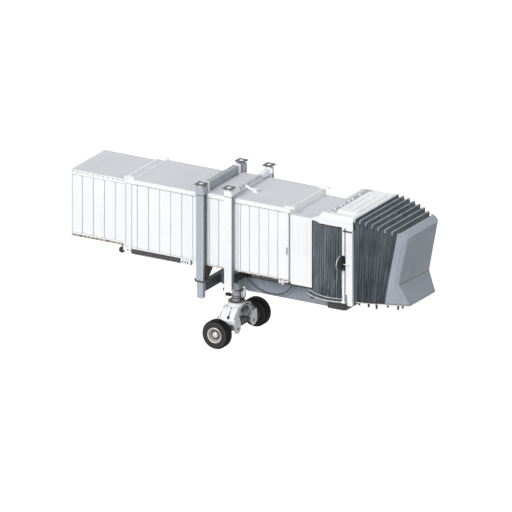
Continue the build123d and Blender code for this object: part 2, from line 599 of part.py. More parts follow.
def yoke_side():
    """White casting on one side: it runs out and down from the head to the lugs on the axle box."""
    high = POST_LOW - SLEW_TALL - 60
    body = prism_yz([(-60, high), (-430, high), (-560, high - 90), (-LEG_Y - LEG_WIDE, AXLE_Z + 330),
                     (-LEG_Y - LEG_WIDE, AXLE_Z + 190), (-LEG_Y + LEG_WIDE, AXLE_Z + 190),
                     (-LEG_Y + LEG_WIDE, AXLE_Z + 350), (-280, high - 260), (-60, high - 260)],
                    POST_X - YOKE_HALF + 90, POST_X + YOKE_HALF - 90)
    lugs = []
    for x0 in (POST_X - YOKE_HALF, POST_X + YOKE_HALF - 90):
        x1 = x0 + 90
        lug = prism_yz([(-LEG_Y - LEG_WIDE, AXLE_Z + 420), (-LEG_Y - LEG_WIDE, AXLE_Z - 20),
                        (-LEG_Y - 90, AXLE_Z - 130), (-LEG_Y + 90, AXLE_Z - 130),
                        (-LEG_Y + LEG_WIDE - 30, AXLE_Z - 20), (-LEG_Y + LEG_WIDE - 30, AXLE_Z + 420)],
                       x0, x1)
        lugs.append(lug - rod((x0 - 1, -LEG_Y, AXLE_Z), (x1 + 1, -LEG_Y, AXLE_Z), PIN_R))
    return body.fuse(*lugs)


def bogie():
    high = POST_LOW - SLEW_TALL / 2 - SEAT_GAP
    head_low = POST_LOW - SLEW_TALL - 60
    head = Pos(POST_X, 0, (high + head_low) / 2) * Cylinder(SLEW_R + 40, high - head_low)
    side = yoke_side()
    box = block(POST_X - 190, POST_X + 190, -LEG_Y - LEG_WIDE, LEG_Y + LEG_WIDE, AXLE_Z - 130, AXLE_Z + 190)
    reach = WHEEL_Y - 150
    axle = rod((POST_X, -reach, AXLE_Z), (POST_X, reach, AXLE_Z), AXLE_R)
    return {
        "yoke": head.fuse(side, side.mirror(Plane.XZ)),
        "axle": box.fuse(axle),
    }


def wheel(side):
    """Tyre and dished rim, turned about the axle line; their outline is radius and width."""
    half = WHEEL_WIDE / 2
    tyre = [(RIM_R, -half + 40), (RIM_R + 30, -half), (WHEEL_R - 110, -half - 4), (WHEEL_R - 35, -half + 30),
            (WHEEL_R, -half + 95), (WHEEL_R, half - 95), (WHEEL_R - 35, half - 30), (WHEEL_R - 110, half + 4),
            (RIM_R + 30, half), (RIM_R, half - 40)]
    hub = 118
    rim = [(0, 150), (60, 142), (100, 105), (hub, 30), (165, -15), (238, -15), (262, 70), (282, half - 42),
           (RIM_R, half - 42), (RIM_R, -half + 42), (RIM_R - 30, -half + 42), (RIM_R - 60, -45), (hub, -45),
           (hub, -150 + SEAT_GAP), (0, -150 + SEAT_GAP)]
    solids = []
    for outline in (tyre, rim):
        points = [(POST_X + r, side * (WHEEL_Y + out), AXLE_Z) for r, out in outline]
        face = make_face(Polyline(*points, close=True))
        axis = Axis((POST_X, side * WHEEL_Y, AXLE_Z), (0, 1, 0))
        solids.append(revolve(face, axis, 360))
    return solids


def cab_plan():
    """Floor plan in front of the drum circle: wide between the columns, then narrowed inside the pleats."""
    angle = radians(CURTAIN_FROM - 1.5)
    column_in = CAB_HALF - COLUMN_DEEP + COLUMN_PROUD
    pleats = 2 * HOOP_R + PLEAT_DEEP + SKIN + SOFT_GAP
    step_x = COLUMN_X + COLUMN_LONG / 2 + 30
    half = [(PIVOT_X + CAB_DISC_R * cos(angle), CAB_DISC_R * sin(angle)),
            (COLUMN_X - COLUMN_LONG / 2 - 20, column_in),
            (step_x, column_in), (step_x, CANOPY_HALF - pleats), (FOOT_X - 60, FOOT_HALF - pleats)]
    return [(x, -y) for x, y in half] + [(x, y) for x, y in reversed(half)]


def cab_floor():
    """Deck on a deep skirt, with the hub that turns on the base."""
    low = CAB_DECK - CAB_PLATE
    outline = prism_xy(cab_plan(), CAB_BOTTOM, CAB_DECK)
    disc = Pos(PIVOT_X, 0, (CAB_BOTTOM + CAB_DECK) / 2) * Cylinder(CAB_DISC_R, CAB_DECK - CAB_BOTTOM)
    whole = outline.fuse(disc)
    front = COLUMN_X - COLUMN_LONG / 2 - 10
    inner = []
    for x, y in cab_plan():
        along = SKIRT if x < front else -SKIRT if x > front + COLUMN_LONG else 0
        inner.append((x + along, y - SKIRT if y > 0 else y + SKIRT))
    hollow = prism_xy(inner, CAB_BOTTOM - 1, low).fuse(
        Pos(PIVOT_X, 0, (CAB_BOTTOM - 1 + low) / 2) * Cylinder(CAB_DISC_R - SKIRT, low - CAB_BOTTOM + 1))
    hub_low = RING_LOW + SEAT_GAP
    hub = Pos(PIVOT_X, 0, (hub_low + low) / 2) * Cylinder(HUB_R, low - hub_low)
    beam = block(PIVOT_X + HUB_R - 30, FOOT_X - 308, -340, -260, CAB_BOTTOM + 40, low)
    return (whole - hollow).fuse(hub, *both_sides(beam).solids())


def pleated_arc(radius, deep, pleats, start, stop, low, high, skin):
    """Upright pleated curtain on a circle round the pivot; angles are in degrees from the X axis."""
    outer, inner = [], []
    for i in range(2 * pleats + 1):
        angle = radians(start + (stop - start) * i / (2 * pleats))
        r = radius + deep / 2 * (1 if i % 2 else -1)
        outer.append((PIVOT_X + r * cos(angle), r * sin(angle)))
        inner.append((PIVOT_X + (r - skin) * cos(angle), (r - skin) * sin(angle)))
    return prism_xy(outer + inner[::-1], low, high)


def cab_hood():
    """Roof shell with round shoulders, a raised fairing and the grey upstand behind."""
    outer = block(HOOD_START, HOOD_END, -CAB_HALF, CAB_HALF, HOOD_LOW, HOOD_HIGH)
    shoulders = outer.edges().filter_by(Axis.X).sort_by(Axis.Z)[-2:]
    outer = fillet(shoulders, HOOD_ROUND)
    inside = CAB_HALF - HOOD_SHEET
    ceiling = HOOD_HIGH - HOOD_SHEET
    inner = block(HOOD_START + HOOD_SHEET, HOOD_END + 1, -inside, inside, HOOD_LOW - 1, ceiling)
    inner = fillet(inner.edges().filter_by(Axis.X).sort_by(Axis.Z)[-2:], HOOD_ROUND - HOOD_SHEET)
    return outer - inner


def cab_fairing():
    plane = Plane(origin=((HOOD_START + HOOD_END) / 2 + 60, 0, HOOD_HIGH))
    body = extrude(plane * RectangleRounded(HOOD_END - HOOD_START - 460, 2 * FAIRING_HALF, 220), FAIRING_TALL)
    return fillet(body.edges().group_by(Axis.Z)[-1], 40)


def cab_body():
    y0, y1 = -CAB_HALF - COLUMN_PROUD, -CAB_HALF + COLUMN_DEEP - COLUMN_PROUD
    column = block(COLUMN_X - COLUMN_LONG / 2, COLUMN_X + COLUMN_LONG / 2, y0, y1, COLUMN_LOW, HOOD_LOW)
    column = fillet(column.edges().filter_by(Axis.Z), 30)
    angle = radians(CURTAIN_FROM)
    edge = [(PIVOT_X + r * cos(angle), -r * sin(angle)) for r in (CURTAIN_R - 35, CURTAIN_R + 90)]
    front = COLUMN_X - COLUMN_LONG / 2
    post = prism_xy([edge[0], edge[1], (edge[1][0] + 40, y0 + 20), (front, y0 + 20), (front, y1 - 10),
                     (edge[0][0] + 70, edge[0][1] + 10)], CAB_DECK, HOOD_LOW)
    start, end = REAR_ROOF_X, HOOD_START
    wedge = prism_xz([(start, REAR_ROOF_LOW), (end, REAR_ROOF_LOW), (end, HOOD_HIGH - 110),
                      (start, REAR_ROOF_LOW + 24)], -CAB_HALF, CAB_HALF)
    plan = prism_xy([(start, -V_HALF), (end, -CAB_HALF), (end, CAB_HALF), (start, V_HALF)],
                    REAR_ROOF_LOW - 1, HOOD_HIGH)
    curtain = pleated_arc(CURTAIN_R, CURTAIN_DEEP, CURTAIN_PLEATS, -CURTAIN_FROM, -CURTAIN_TO, CURTAIN_LOW,
                          CURTAIN_HIGH, SKIN)
    return {
        "cab_floor": cab_floor(),
        "cab_hood": cab_hood().fuse(cab_fairing()),
        "cab_rear_roof": wedge.intersect(plan).solid(),
        "front_columns": both_sides(column.fuse(post)),
        "side_curtains": both_sides(curtain),
    }


def mirror_parts():
    """Round convex mirror that looks back along the tunnel, on a short arm from the column."""
    y = -CAB_HALF - 106
    shell = [(0, 40), (MIRROR_R * 0.6, 34), (MIRROR_R, 12), (MIRROR_R, -12), (0, -12)]
    points = [(MIRROR_X + out, y + r, MIRROR_Z) for r, out in shell]
    body = revolve(make_face(Polyline(*points, close=True)), Axis((MIRROR_X, y, MIRROR_Z), (1, 0, 0)), 360)
    glass = [(0, -34), (MIRROR_R * 0.5, -28), (MIRROR_R - 22, -12), (0, -12)]
    points = [(MIRROR_X + out, y + r, MIRROR_Z) for r, out in glass]
    face = revolve(make_face(Polyline(*points, close=True)), Axis((MIRROR_X, y, MIRROR_Z), (1, 0, 0)), 360)
    lug_x = COLUMN_X - COLUMN_LONG / 2 + 60
    arm = rod((MIRROR_X + 30, y, MIRROR_Z), (lug_x, y, MIRROR_Z), 20)
    lug = block(lug_x - 30, lug_x + 30, y - 25, -CAB_HALF - COLUMN_PROUD, MIRROR_Z - 40, MIRROR_Z + 40)
    return {"mirror": body.fuse(arm, lug), "mirror_glass": face}


def hoop_at(t):
    """Place, half width and height of the canopy roof line, t from 0 at the cab to 1 at the front."""
    return blend(CANOPY_X, TIP_X, t), blend(CANOPY_HALF, TIP_HALF, t, 2.6), blend(CANOPY_TOP, TIP_TOP, t, 1.4)


def canopy_hoop(t):
    """Tube across the roof with both ends turned down."""
    x, half, z = hoop_at(t)
    half -= HOOP_R
    points = [(x, -half, z - HOOP_LEG), (x, -half, z), (x, half, z), (x, half, z - HOOP_LEG)]
    path = FilletPolyline(*points, radius=60)
    return sweep(Plane(origin=path @ 0, z_dir=path % 0) * Circle(HOOP_R), path=path)


def canopy_side():
    """Pleats that fan out from the foot to the sloping roof line, as one folded sheet."""
    folds = 2 * SIDE_PLEATS
    foot_outer, head_outer, foot_inner, head_inner = [], [], [], []
    for i in range(folds + 1):
        t = i / folds
        x, half, z = hoop_at(t * (1 + FRONT_BACK / (TIP_X - CANOPY_X)))
        half -= 2 * HOOP_R + SEAT_GAP
        low_x = blend(CAB_FRONT_X + 4, FOOT_X + FRONT_BACK, t)
        low_half = blend(CANOPY_HALF, FOOT_HALF, t, 1.5) - 2 * HOOP_R - 1
        rise = (CANOPY_TOP - CAB_BOTTOM) / (z - CAB_BOTTOM)
        high_x, high_half = low_x + (x - low_x) * rise, low_half + (half - low_half) * rise
        fold = PLEAT_DEEP if i % 2 else 0
        foot_outer.append((low_x, -low_half + fold))
        foot_inner.append((low_x, -low_half + fold + SKIN))
        head_outer.append((high_x, -high_half + fold))
        head_inner.append((high_x, -high_half + fold + SKIN))
    foot = Polyline(*[(x, y, CAB_BOTTOM) for x, y in foot_outer + foot_inner[::-1]], close=True)
    head = Polyline(*[(x, y, CANOPY_TOP) for x, y in head_outer + head_inner[::-1]], close=True)
    whole = Solid.make_loft([Wire(foot.edges()), Wire(head.edges())], ruled=True)
    line = [(hoop_at(k / 8)[0], hoop_at(k / 8)[2] - 80) for k in range(9)]
    back, front = CANOPY_X - 200, TIP_X + 900
    above = [(back, line[0][1] + 40)] + line + [(front, line[-1][1] - 300), (front, FAR), (back, FAR)]
    return whole - prism_xz(above, -FAR, 0)


def canopy_roof():
    """Folded roof sheet: ridges under the hoops, a valley between each two."""
    top, plan = [], []
    for i in range(2 * HOOPS - 1):
        x, half, z = hoop_at(i / (2 * HOOPS - 2))
        top.append((x, z - HOOP_R - (TOP_VALLEY if i % 2 else 0)))
        plan.append((x, half - 2 * HOOP_R - 1 - PLEAT_DEEP - SKIN - SOFT_GAP))
    low = [(x, z - SKIN) for x, z in reversed(top)]
    sheet = prism_xz(top + low, -CANOPY_HALF, CANOPY_HALF)
    outline = [(x, -half) for x, half in plan] + [(x, half) for x, half in reversed(plan)]
    trim = prism_xy(outline, TIP_TOP - 2 * TOP_VALLEY, CANOPY_TOP + TOP_VALLEY)
    return sheet.intersect(trim).solid()


def front_block(inset):
    """The smooth front as one solid: side view, narrowed by the two leaning cheeks."""
    low = CAB_BOTTOM - (10 if inset else 0)
    back = FRONT_BACK + SOFT_GAP if inset == 0 else -400
    top_back = TIP_TOP + (HOOP_R if inset == 0 else 0)
    side = [(TIP_X + back, top_back - inset), (FRONT_TOP_X - inset, FRONT_TOP_Z - inset),
            (WAIST_X - inset, WAIST_Z), (LIP_X - inset, low), (FOOT_X + back, low)]
    slope = (FOOT_HALF - LIP_HALF) / (LIP_X - FOOT_X)
    lean = TIP_HALF + slope * (TIP_X - FOOT_X) - FOOT_HALF
    wires = []
    for z, extra in ((CAB_BOTTOM - 20, 0), (TIP_TOP + 40, lean)):
        near, far = FOOT_HALF + extra + slope * 700 - inset, FOOT_HALF + extra - slope * 1300 - inset
        x0, x1 = FOOT_X - 700, FOOT_X + 1300
        corners = [(x0, -near, z), (x1, -far, z), (x1, far, z), (x0, near, z)]
        wires.append(Wire(Polyline(*corners, close=True).edges()))
    return prism_xz(side, -FAR, FAR).intersect(Solid.make_loft(wires, ruled=True)).solid()


def canopy_front():
    """Padded cheeks and closed front, hollow behind."""
    return front_block(0) - front_block(FRONT_SKIN)


def trim_line():
    """Outer edge of the foot rail on one side, from the cab to the lip."""
    return [(CAB_FRONT_X + 10, CAB_HALF - 40), (FOOT_X, FOOT_HALF), (LIP_X, LIP_HALF)]


def canopy_trim():
    """Flat rail round the foot of the canopy."""
    outer = trim_line()
    inner = [(x - (TRIM_DEEP if x == LIP_X else 0), y - TRIM_DEEP) for x, y in outer]
    ring = []
    for side in (-1, 1):
        points = [(x, side * y) for x, y in outer] + [(x, side * y) for x, y in reversed(inner)]
        ring.append(prism_xy(points, CAB_BOTTOM - TRIM_TALL, CAB_BOTTOM))
    bar = block(LIP_X - TRIM_DEEP, LIP_X, -LIP_HALF, LIP_HALF, CAB_BOTTOM - TRIM_TALL, CAB_BOTTOM)
    return ring[0].fuse(ring[1], bar)


def canopy_stubs():
    """Short rubber buffers under the middle of the foot rail, spread along its two straight lengths."""
    start, bend, end = trim_line()
    top = CAB_BOTTOM - TRIM_TALL
    stubs = []
    for low, high, share, long in ((start, bend, 0.09, 90), (start, bend, 0.4, 130), (start, bend, 0.66, 170),
                                   (bend, end, 0.04, 90), (bend, end, 0.47, 150), (bend, end, 0.66, 90)):
        x, y = blend(low[0], high[0], share), blend(low[1], high[1], share) - TRIM_DEEP / 2
        for side in (-1, 1):
            stubs.append(rod((x, side * y, top), (x, side * y, top - long), STUB_R))
    return stubs


def canopy():
    hoops = [canopy_hoop(k / (HOOPS - 1)) for k in range(HOOPS)]
    return {
        "canopy_hoops": Compound(children=hoops),
        "canopy_roof": canopy_roof(),
        "canopy_sides": both_sides(canopy_side()),
        "canopy_front": canopy_front(),
        "canopy_trim": canopy_trim().fuse(*canopy_stubs()),
    }


def build():
    nodes = {}
    nodes.update(tunnel_a())
    nodes.update(tunnel_b())
    nodes.update(tunnel_c())
    nodes.update(carriage())
    nodes.update(bogie())
    for name, side in (("near", -1), ("far", 1)):
        nodes["tyre_" + name], nodes["rim_" + name] = wheel(side)
    nodes.update(cab_body())
    nodes.update(mirror_parts())
    nodes.update(canopy())
    os.makedirs("parts", exist_ok=True)
    for name, solid in nodes.items():
        export_step(solid, "parts/" + name + ".step")


build()
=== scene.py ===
# %% [markdown]
# A jet bridge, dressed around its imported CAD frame.
# The bridge is three sheet-metal tunnels that slide into each other, two lifting portals, a steered
# pair of wheels, a turning cab and a folding canopy of coated cloth.
# The CAD model gives every rigid shape. This script gives each surface its finish, and replaces
# the plain soft solids with cloth that is really pleated. Every length is in metres, with X from the
# wall to the cab and Z up.

import math
import bpy
import numpy as np
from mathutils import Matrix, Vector


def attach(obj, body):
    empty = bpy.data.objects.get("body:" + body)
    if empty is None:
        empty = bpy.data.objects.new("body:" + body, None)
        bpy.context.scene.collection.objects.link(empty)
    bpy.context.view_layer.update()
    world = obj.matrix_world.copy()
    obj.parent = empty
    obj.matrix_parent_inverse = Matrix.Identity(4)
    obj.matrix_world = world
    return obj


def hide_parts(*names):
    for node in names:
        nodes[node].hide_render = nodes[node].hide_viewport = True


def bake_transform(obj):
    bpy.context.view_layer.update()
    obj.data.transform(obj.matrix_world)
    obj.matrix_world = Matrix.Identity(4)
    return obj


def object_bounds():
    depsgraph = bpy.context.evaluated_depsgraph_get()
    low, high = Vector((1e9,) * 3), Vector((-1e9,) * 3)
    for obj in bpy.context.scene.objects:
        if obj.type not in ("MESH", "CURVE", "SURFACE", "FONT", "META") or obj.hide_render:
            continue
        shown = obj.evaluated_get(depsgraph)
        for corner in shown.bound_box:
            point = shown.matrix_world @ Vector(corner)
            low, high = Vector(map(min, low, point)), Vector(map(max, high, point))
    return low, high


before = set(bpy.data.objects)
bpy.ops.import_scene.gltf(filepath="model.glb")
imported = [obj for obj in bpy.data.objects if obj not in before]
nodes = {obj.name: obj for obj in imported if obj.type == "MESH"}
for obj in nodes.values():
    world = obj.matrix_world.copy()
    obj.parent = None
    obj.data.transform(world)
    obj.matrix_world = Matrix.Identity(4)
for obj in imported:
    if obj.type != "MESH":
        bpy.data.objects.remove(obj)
cad_low, cad_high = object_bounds()
print("CAD nodes:", len(nodes), "box:", [round(v, 3) for v in (*cad_low, *cad_high)])

# %% [markdown]
# Every new piece is a surface worked out with numpy: an array of points on a grid, and an array
# of four-cornered faces that joins neighbours. A few helpers do that once for the whole script.
# A shape is kept as a pair, its points and its faces, until it is put into a Blender mesh.

# %% Grids of points and faces


def grid_faces(rows, columns, around=False):
    """Faces (i, j), (i, j+1), (i+1, j+1), (i+1, j); around joins the last column to the first."""
    i, j = np.meshgrid(np.arange(rows - 1), np.arange(columns - (0 if around else 1)), indexing="ij")
    k = (j + 1) % columns
    corners = [i * columns + j, i * columns + k, (i + 1) * columns + k, (i + 1) * columns + j]
    return np.stack(corners, -1).reshape(-1, 4)


def join(*shapes):
    """One shape from several: the faces of each are counted on from the points before it."""
    starts = np.cumsum([0] + [len(points) for points, _ in shapes[:-1]])
    faces = [[v + int(n) for v in face] for n, (_, rows) in zip(starts, shapes) for face in rows]
    return np.concatenate([points for points, _ in shapes]), faces


def copies(shape, places):
    """The shape once at each place: every copy is the same points plus its place."""
    return join(*[(shape[0] + np.asarray(at, float), shape[1]) for at in places])


def image(shape):
    """The shape in a mirror on the plane Y = 0: Y changes sign, and the faces are turned round."""
    return shape[0] * (1, -1, 1), [face[::-1] for face in shape[1]]


def mirrored(shape):
    """The shape together with its image."""
    return join(shape, image(shape))


def stand(name, data):
    """A new object in the scene, at the origin."""
    thing = bpy.data.objects.new(name, data)
    bpy.context.scene.collection.objects.link(thing)
    return thing


def put(name, shape, material, body, uv=None, smooth=False):
    """Puts a shape into a mesh object, and makes it ride on a body unless that is None."""
    points, faces = shape
    mesh = bpy.data.meshes.new(name)
    mesh.from_pydata(np.asarray(points).tolist(), [], [list(map(int, f)) for f in faces])
    mesh.validate()
    if uv is not None:
        layer = mesh.uv_layers.new(name="cloth")
        corner = np.zeros(len(mesh.loops), np.int32)
        mesh.loops.foreach_get("vertex_index", corner)
        layer.data.foreach_set("uv", np.asarray(uv, np.float32)[corner].ravel())
    mesh.polygons.foreach_set("use_smooth", np.full(len(mesh.polygons), smooth))
    mesh.materials.append(material)
    piece = stand(name, mesh)
    if body:
        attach(piece, body)
    print("piece", name, "faces", len(mesh.polygons))
    return piece


# %% [markdown]
# Most small metal pieces are one of four forms: a turned piece such as a bolt head, a pressed
# plate with round corners, a bent rod or pipe, and a bar of constant section. Each is a profile
# carried round an axis or along a path, closed at both ends by one face.

# %% Turned, pressed and bent shapes


def unit(vectors):
    """Each vector divided by its own length."""
    return vectors / np.linalg.norm(vectors, axis=-1, keepdims=True)


def axes_of(direction):
    """A unit vector along a direction, and two at right angles to it and to each other."""
    d = unit(np.asarray(direction, float))
    side = unit(np.cross(d, (0, 0, 1) if abs(d[2]) < 0.9 else (1, 0, 0)))
    return d, side, np.cross(d, side)


def tube(rings, flip=False):
    """A closed shape through rings of points: faces between neighbours, and one face at each end."""
    count, n = np.shape(rings)[:2]
    faces = grid_faces(count, n, around=True).tolist()
    faces += [list(range(n))[::-1], list(range(n * (count - 1), n * count))]
    return np.reshape(rings, (-1, 3)), [f[::-1] for f in faces] if flip else faces


def turned(profile, centre=(0, 0, 0), axis=(0, 0, 1), sides=16):
    """A profile of (radius, height): centre + height*axis + radius*(cos a*side + sin a*up)."""
    d, side, up = axes_of(axis)
    radius, height = np.asarray(profile, float).T[:, :, None, None]
    a = np.arange(sides)[:, None] * 2 * np.pi / sides
    return tube(np.asarray(centre) + height * d + radius * (np.cos(a) * side + np.sin(a) * up))


def outline(wide, tall, radius, steps=4):
    """A rectangle with round corners: each centre + radius * (cos a, sin a) over a quarter turn."""
    radius = min(radius, wide / 2, tall / 2)
    a = np.linspace(0, np.pi / 2, steps + 1) + np.arange(4)[:, None] * np.pi / 2
    centre = np.array([[1, 1], [-1, 1], [-1, -1], [1, -1]]) * (wide / 2 - radius, tall / 2 - radius)
    return (centre[:, None] + radius * np.stack([np.cos(a), np.sin(a)], -1)).reshape(-1, 2)


def slab(low, high, corner=0.01, edge=0.003, axis=2):
    """A pressed plate between two corners: its outline along an axis, drawn in at both faces."""
    low, high = np.minimum(low, high), np.maximum(low, high)
    flat_axes = [k for k in range(3) if k != axis]
    size, middle = high - low, (low + high) / 2
    edge = min(edge, *size / 2.5)
    rings = []
    for level, inset in ((low, edge), (low + edge, 0), (high - edge, 0), (high, edge)):
        flat = outline(*(size[flat_axes] - 2 * inset), max(corner - inset, 1e-4))
        rings.append(np.insert(flat + middle[flat_axes], axis, level[axis], axis=1))
    return tube(rings, flip=axis == 1)


def slabs(*rows):
    """Several pressed plates in one shape."""
    return join(*[slab(*row) for row in rows])


def cut_plate(corners, axis, low, high, edge=0.004):
    """A plate cut to corners in the other two axes, each moved inwards by edge at both faces."""
    corners = np.asarray(corners, float)
    x, y = corners.T
    if (x * np.roll(y, -1) - y * np.roll(x, -1)).sum() < 0:
        corners = corners[::-1]
    inward = edge * unit(corners.mean(axis=0) - corners)
    edge = min(edge, (high - low) / 2.5)
    levels = [(low, inward), (low + edge, 0), (high - edge, 0), (high, inward)]
    rings = [np.insert(corners + shift, axis, level, axis=1) for level, shift in levels]
    return tube(rings, flip=axis == 1)


def pipe(path, radius, sides=10):
    """A round section along a path: each point + radius * (cos a, sin a) in the plane across it."""
    path = np.asarray(path, float)
    ahead = unit(np.gradient(path, axis=0))
    across = [axes_of(ahead[0])[1]]
    for d in ahead[1:]:
        across.append(unit(across[-1] - d * (across[-1] @ d)))
    side, up = np.array(across)[:, None], np.cross(ahead, across)[:, None]
    a = np.arange(sides)[:, None] * 2 * np.pi / sides
    return tube(path[:, None] + radius * (np.cos(a) * side + np.sin(a) * up))


def bend(*corners, radius=0.05, steps=5):
    """A path whose corners are rounded: (1-t)^2 before + 2t(1-t) corner + t^2 after."""
    corners = np.asarray(corners, float)
    path = [corners[0]]
    for before, corner, after in zip(corners, corners[1:], corners[2:]):
        to, on = before - corner, after - corner
        cut = min(radius, np.linalg.norm(to) / 2.1, np.linalg.norm(on) / 2.1)
        p, q = corner + unit(to) * cut, corner + unit(on) * cut
        path += [(1 - t) ** 2 * p + 2 * t * (1 - t) * corner + t * t * q
                 for t in np.linspace(0, 1, steps)]
    return np.array(path + [corners[-1]])


def pipes(*rows):
    """Several bent pipes, each a row of its radius, the radius of its bends, and its corners."""
    return join(*[pipe(bend(*corners, radius=curve), radius) for radius, curve, *corners in rows])


def lengths_along(path):
    """The running length at each point of a path."""
    return np.concatenate([[0], np.cumsum(np.linalg.norm(np.diff(path, axis=0), axis=1))])


def spread_along(path, step):
    """The same path with a point about every step metres, and the running length of each."""
    long = lengths_along(path)
    at = np.linspace(0, long[-1], int(long[-1] / step) + 1)
    return np.stack([np.interp(at, long, path[:, k]) for k in range(3)], -1), at


print("helpers ready")

# %% [markdown]
# The camera stands well off to one side and looks down on the bridge, and parallel lines stay
# parallel in the picture, so it is an orthographic camera. Its scale is a number of pixels to the
# metre, which with the size of the picture gives the width that it sees.

# %% Camera
PICTURE, PIXELS_A_METRE = 512, 24.0
AZIMUTH, ELEVATION = math.radians(30.0), math.radians(19.5)
AIM = np.array([8.128, 0.0, -0.061])
CAMERA_FAR, CLIP_FAR = 40.0, 200


def turn_to(thing, toward, axis):
    """Turns an object so that one of its own axes points along a direction."""
    thing.rotation_mode = "QUATERNION"
    thing.rotation_quaternion = Vector(toward).to_track_quat(axis, "Y")


level = math.cos(ELEVATION)
back = np.array([math.sin(AZIMUTH) * level, -math.cos(AZIMUTH) * level, math.sin(ELEVATION)])
lens = bpy.data.cameras.new("camera")
lens.type = "ORTHO"
lens.ortho_scale = PICTURE / PIXELS_A_METRE
lens.clip_end = CLIP_FAR
camera = stand("camera", lens)
camera.location = AIM + back * CAMERA_FAR
turn_to(camera, -back, "-Z")
bpy.context.scene.camera = camera
print("camera sees", round(lens.ortho_scale, 2), "m")

# %% [markdown]
# Materials and light are node trees, and one helper writes them all. It makes a node, and sets each
# input to a number or a colour, or links it to another node. A colour is given as the eye names it,
# in steps of 0 to 255, and light is worked out with linear numbers, so it is changed on the way in.

# %% Shader nodes


def tone(red, green, blue):
    """A linear colour from 0 to 255 steps: ((c + 0.055) / 1.055) ^ 2.4, and c / 12.92 near black."""
    c = np.array([red, green, blue]) / 255
    linear = np.where(c <= 0.04045, c / 12.92, ((c + 0.055) / 1.055) ** 2.4)
    return (*linear.tolist(), 1.0)


def feed(tree, socket, value):
    """Links an input to a node's output, or sets it; three steps of 0 to 255 become a colour."""
    if isinstance(value, bpy.types.NodeSocket):
        tree.links.new(value, socket)
    elif socket.type == "RGBA" and len(value) == 3:
        socket.default_value = tone(*value)
    else:
        socket.default_value = value


def node(tree, kind, inputs=(), **settings):
    """A new node with its settings, and with its inputs, by name or number, fed from a dictionary."""
    made = tree.nodes.new("ShaderNode" + kind)
    for name, value in settings.items():
        setattr(made, name, value)
    for key, value in dict(inputs).items():
        feed(tree, made.inputs[key], value)
    return made


def sums(tree, operation, *terms, clamp=False):
    """A Math node on up to three terms, each a number or another node's output."""
    return node(tree, "Math", enumerate(terms), operation=operation, use_clamp=clamp).outputs[0]


def seen_directly(tree):
    """1 where a ray comes from the camera, a mirror or glass: the largest of those three flags."""
    flags = node(tree, "LightPath").outputs
    shiny = sums(tree, "MAXIMUM", flags["Is Camera Ray"], flags["Is Glossy Ray"])
    return sums(tree, "MAXIMUM", shiny, flags["Is Transmission Ray"])


print("node helpers ready")

# %% [markdown]
# The light is that of a bright studio: an even white sky, one large soft lamp from the side of the
# camera and a little above, and a weak one from the cab end. Together they light a wall that faces
# the camera about as brightly as its own colour says. The lamp could be brighter, but then white
# walls would burn out.

# %% Lamps and sky
SKY_LEVEL, SKY_TINT = 0.50, (0.985, 0.99, 1.0, 1)
BACKDROP, PURE_WHITE = 1.0, (1, 1, 1, 1)
LAMPS = [("key_lamp", (-0.14, -0.86, 0.49), 2.20, 24), ("fill_lamp", (0.92, -0.25, 0.30), 0.42, 40)]

for name, toward, strength, spread in LAMPS:
    light = bpy.data.lights.new(name, "SUN")
    light.energy, light.angle = strength, math.radians(spread)
    turn_to(stand(name, light), toward, "Z")
world = bpy.data.worlds.new("studio")
bpy.context.scene.world = world
world.use_nodes = True
sky = world.node_tree
sky.nodes.clear()
soft_light = node(sky, "Background", {"Color": SKY_TINT, "Strength": SKY_LEVEL}).outputs[0]
white = node(sky, "Background", {"Color": PURE_WHITE, "Strength": BACKDROP}).outputs[0]
chosen = node(sky, "MixShader", {0: seen_directly(sky), 1: soft_light, 2: white}).outputs[0]
node(sky, "OutputWorld", {0: chosen})
bpy.context.scene.view_settings.view_transform = "Standard"
print("lamps:", [name for name, *_ in LAMPS])

# %% [markdown]
# The floor is only the studio's. To the camera it is white, like the backdrop. To the light it is a
# mid grey, as an apron would be, so the underside of the bridge stays in shade. It lies where the
# wheels end when the lift is right down, so no pose puts a wheel through it.

# %% Studio floor
FLOOR_HALF, FLOOR_GREY, FLOOR_SHOWN = 60.0, 0.30, 0.97
LIFT_DROP, FLOOR_GAP = 1.2, 0.002

floor_z = float(cad_low.z) - LIFT_DROP
floor_mesh = bpy.data.meshes.new("studio_floor")
floor_corners = np.array([(-1, -1, 0), (1, -1, 0), (1, 1, 0), (-1, 1, 0)]) * FLOOR_HALF
floor_corners[:, 2] = floor_z - FLOOR_GAP
floor_mesh.from_pydata(floor_corners.tolist(), [], [(0, 1, 2, 3)])
studio_floor = stand("studio_floor", floor_mesh)
pale = bpy.data.materials.new("pale_floor")
pale.use_nodes = True
tree = pale.node_tree
tree.nodes.clear()
matt = node(tree, "BsdfDiffuse", {"Color": (FLOOR_GREY, FLOOR_GREY, FLOOR_GREY, 1)}).outputs[0]
glow = node(tree, "Emission", {"Strength": FLOOR_SHOWN}).outputs[0]
both = node(tree, "AddShader", {0: matt, 1: glow}).outputs[0]
shown = node(tree, "MixShader", {0: seen_directly(tree), 1: matt, 2: both}).outputs[0]
node(tree, "OutputMaterial", {0: shown})
floor_mesh.materials.append(pale)
print("floor at", round(floor_z, 3))

# %% [markdown]
# The supply cable comes out of a gland beside the white portal, hangs under the floor of the outer
# tunnel in one long sag, and goes into a second gland. Its facts come before its shape: 44 mm thick,
# about 2.7 m long, stiff rubber, and held at both ends. The curve is a NURBS line whose control
# points are the ones that the CAD route was drawn with. A mesh of it is made while it is thin, and
# removed.

# %% Supply cable
CABLE_THICK = 0.044
CABLE_ROUTE = [(7.960, -0.620, -0.700), (8.150, -0.640, -0.930), (8.450, -0.655, -1.150),
               (8.880, -0.665, -1.295), (9.340, -0.665, -1.335), (9.770, -0.655, -1.250),
               (10.070, -0.640, -1.050), (10.230, -0.630, -0.800)]

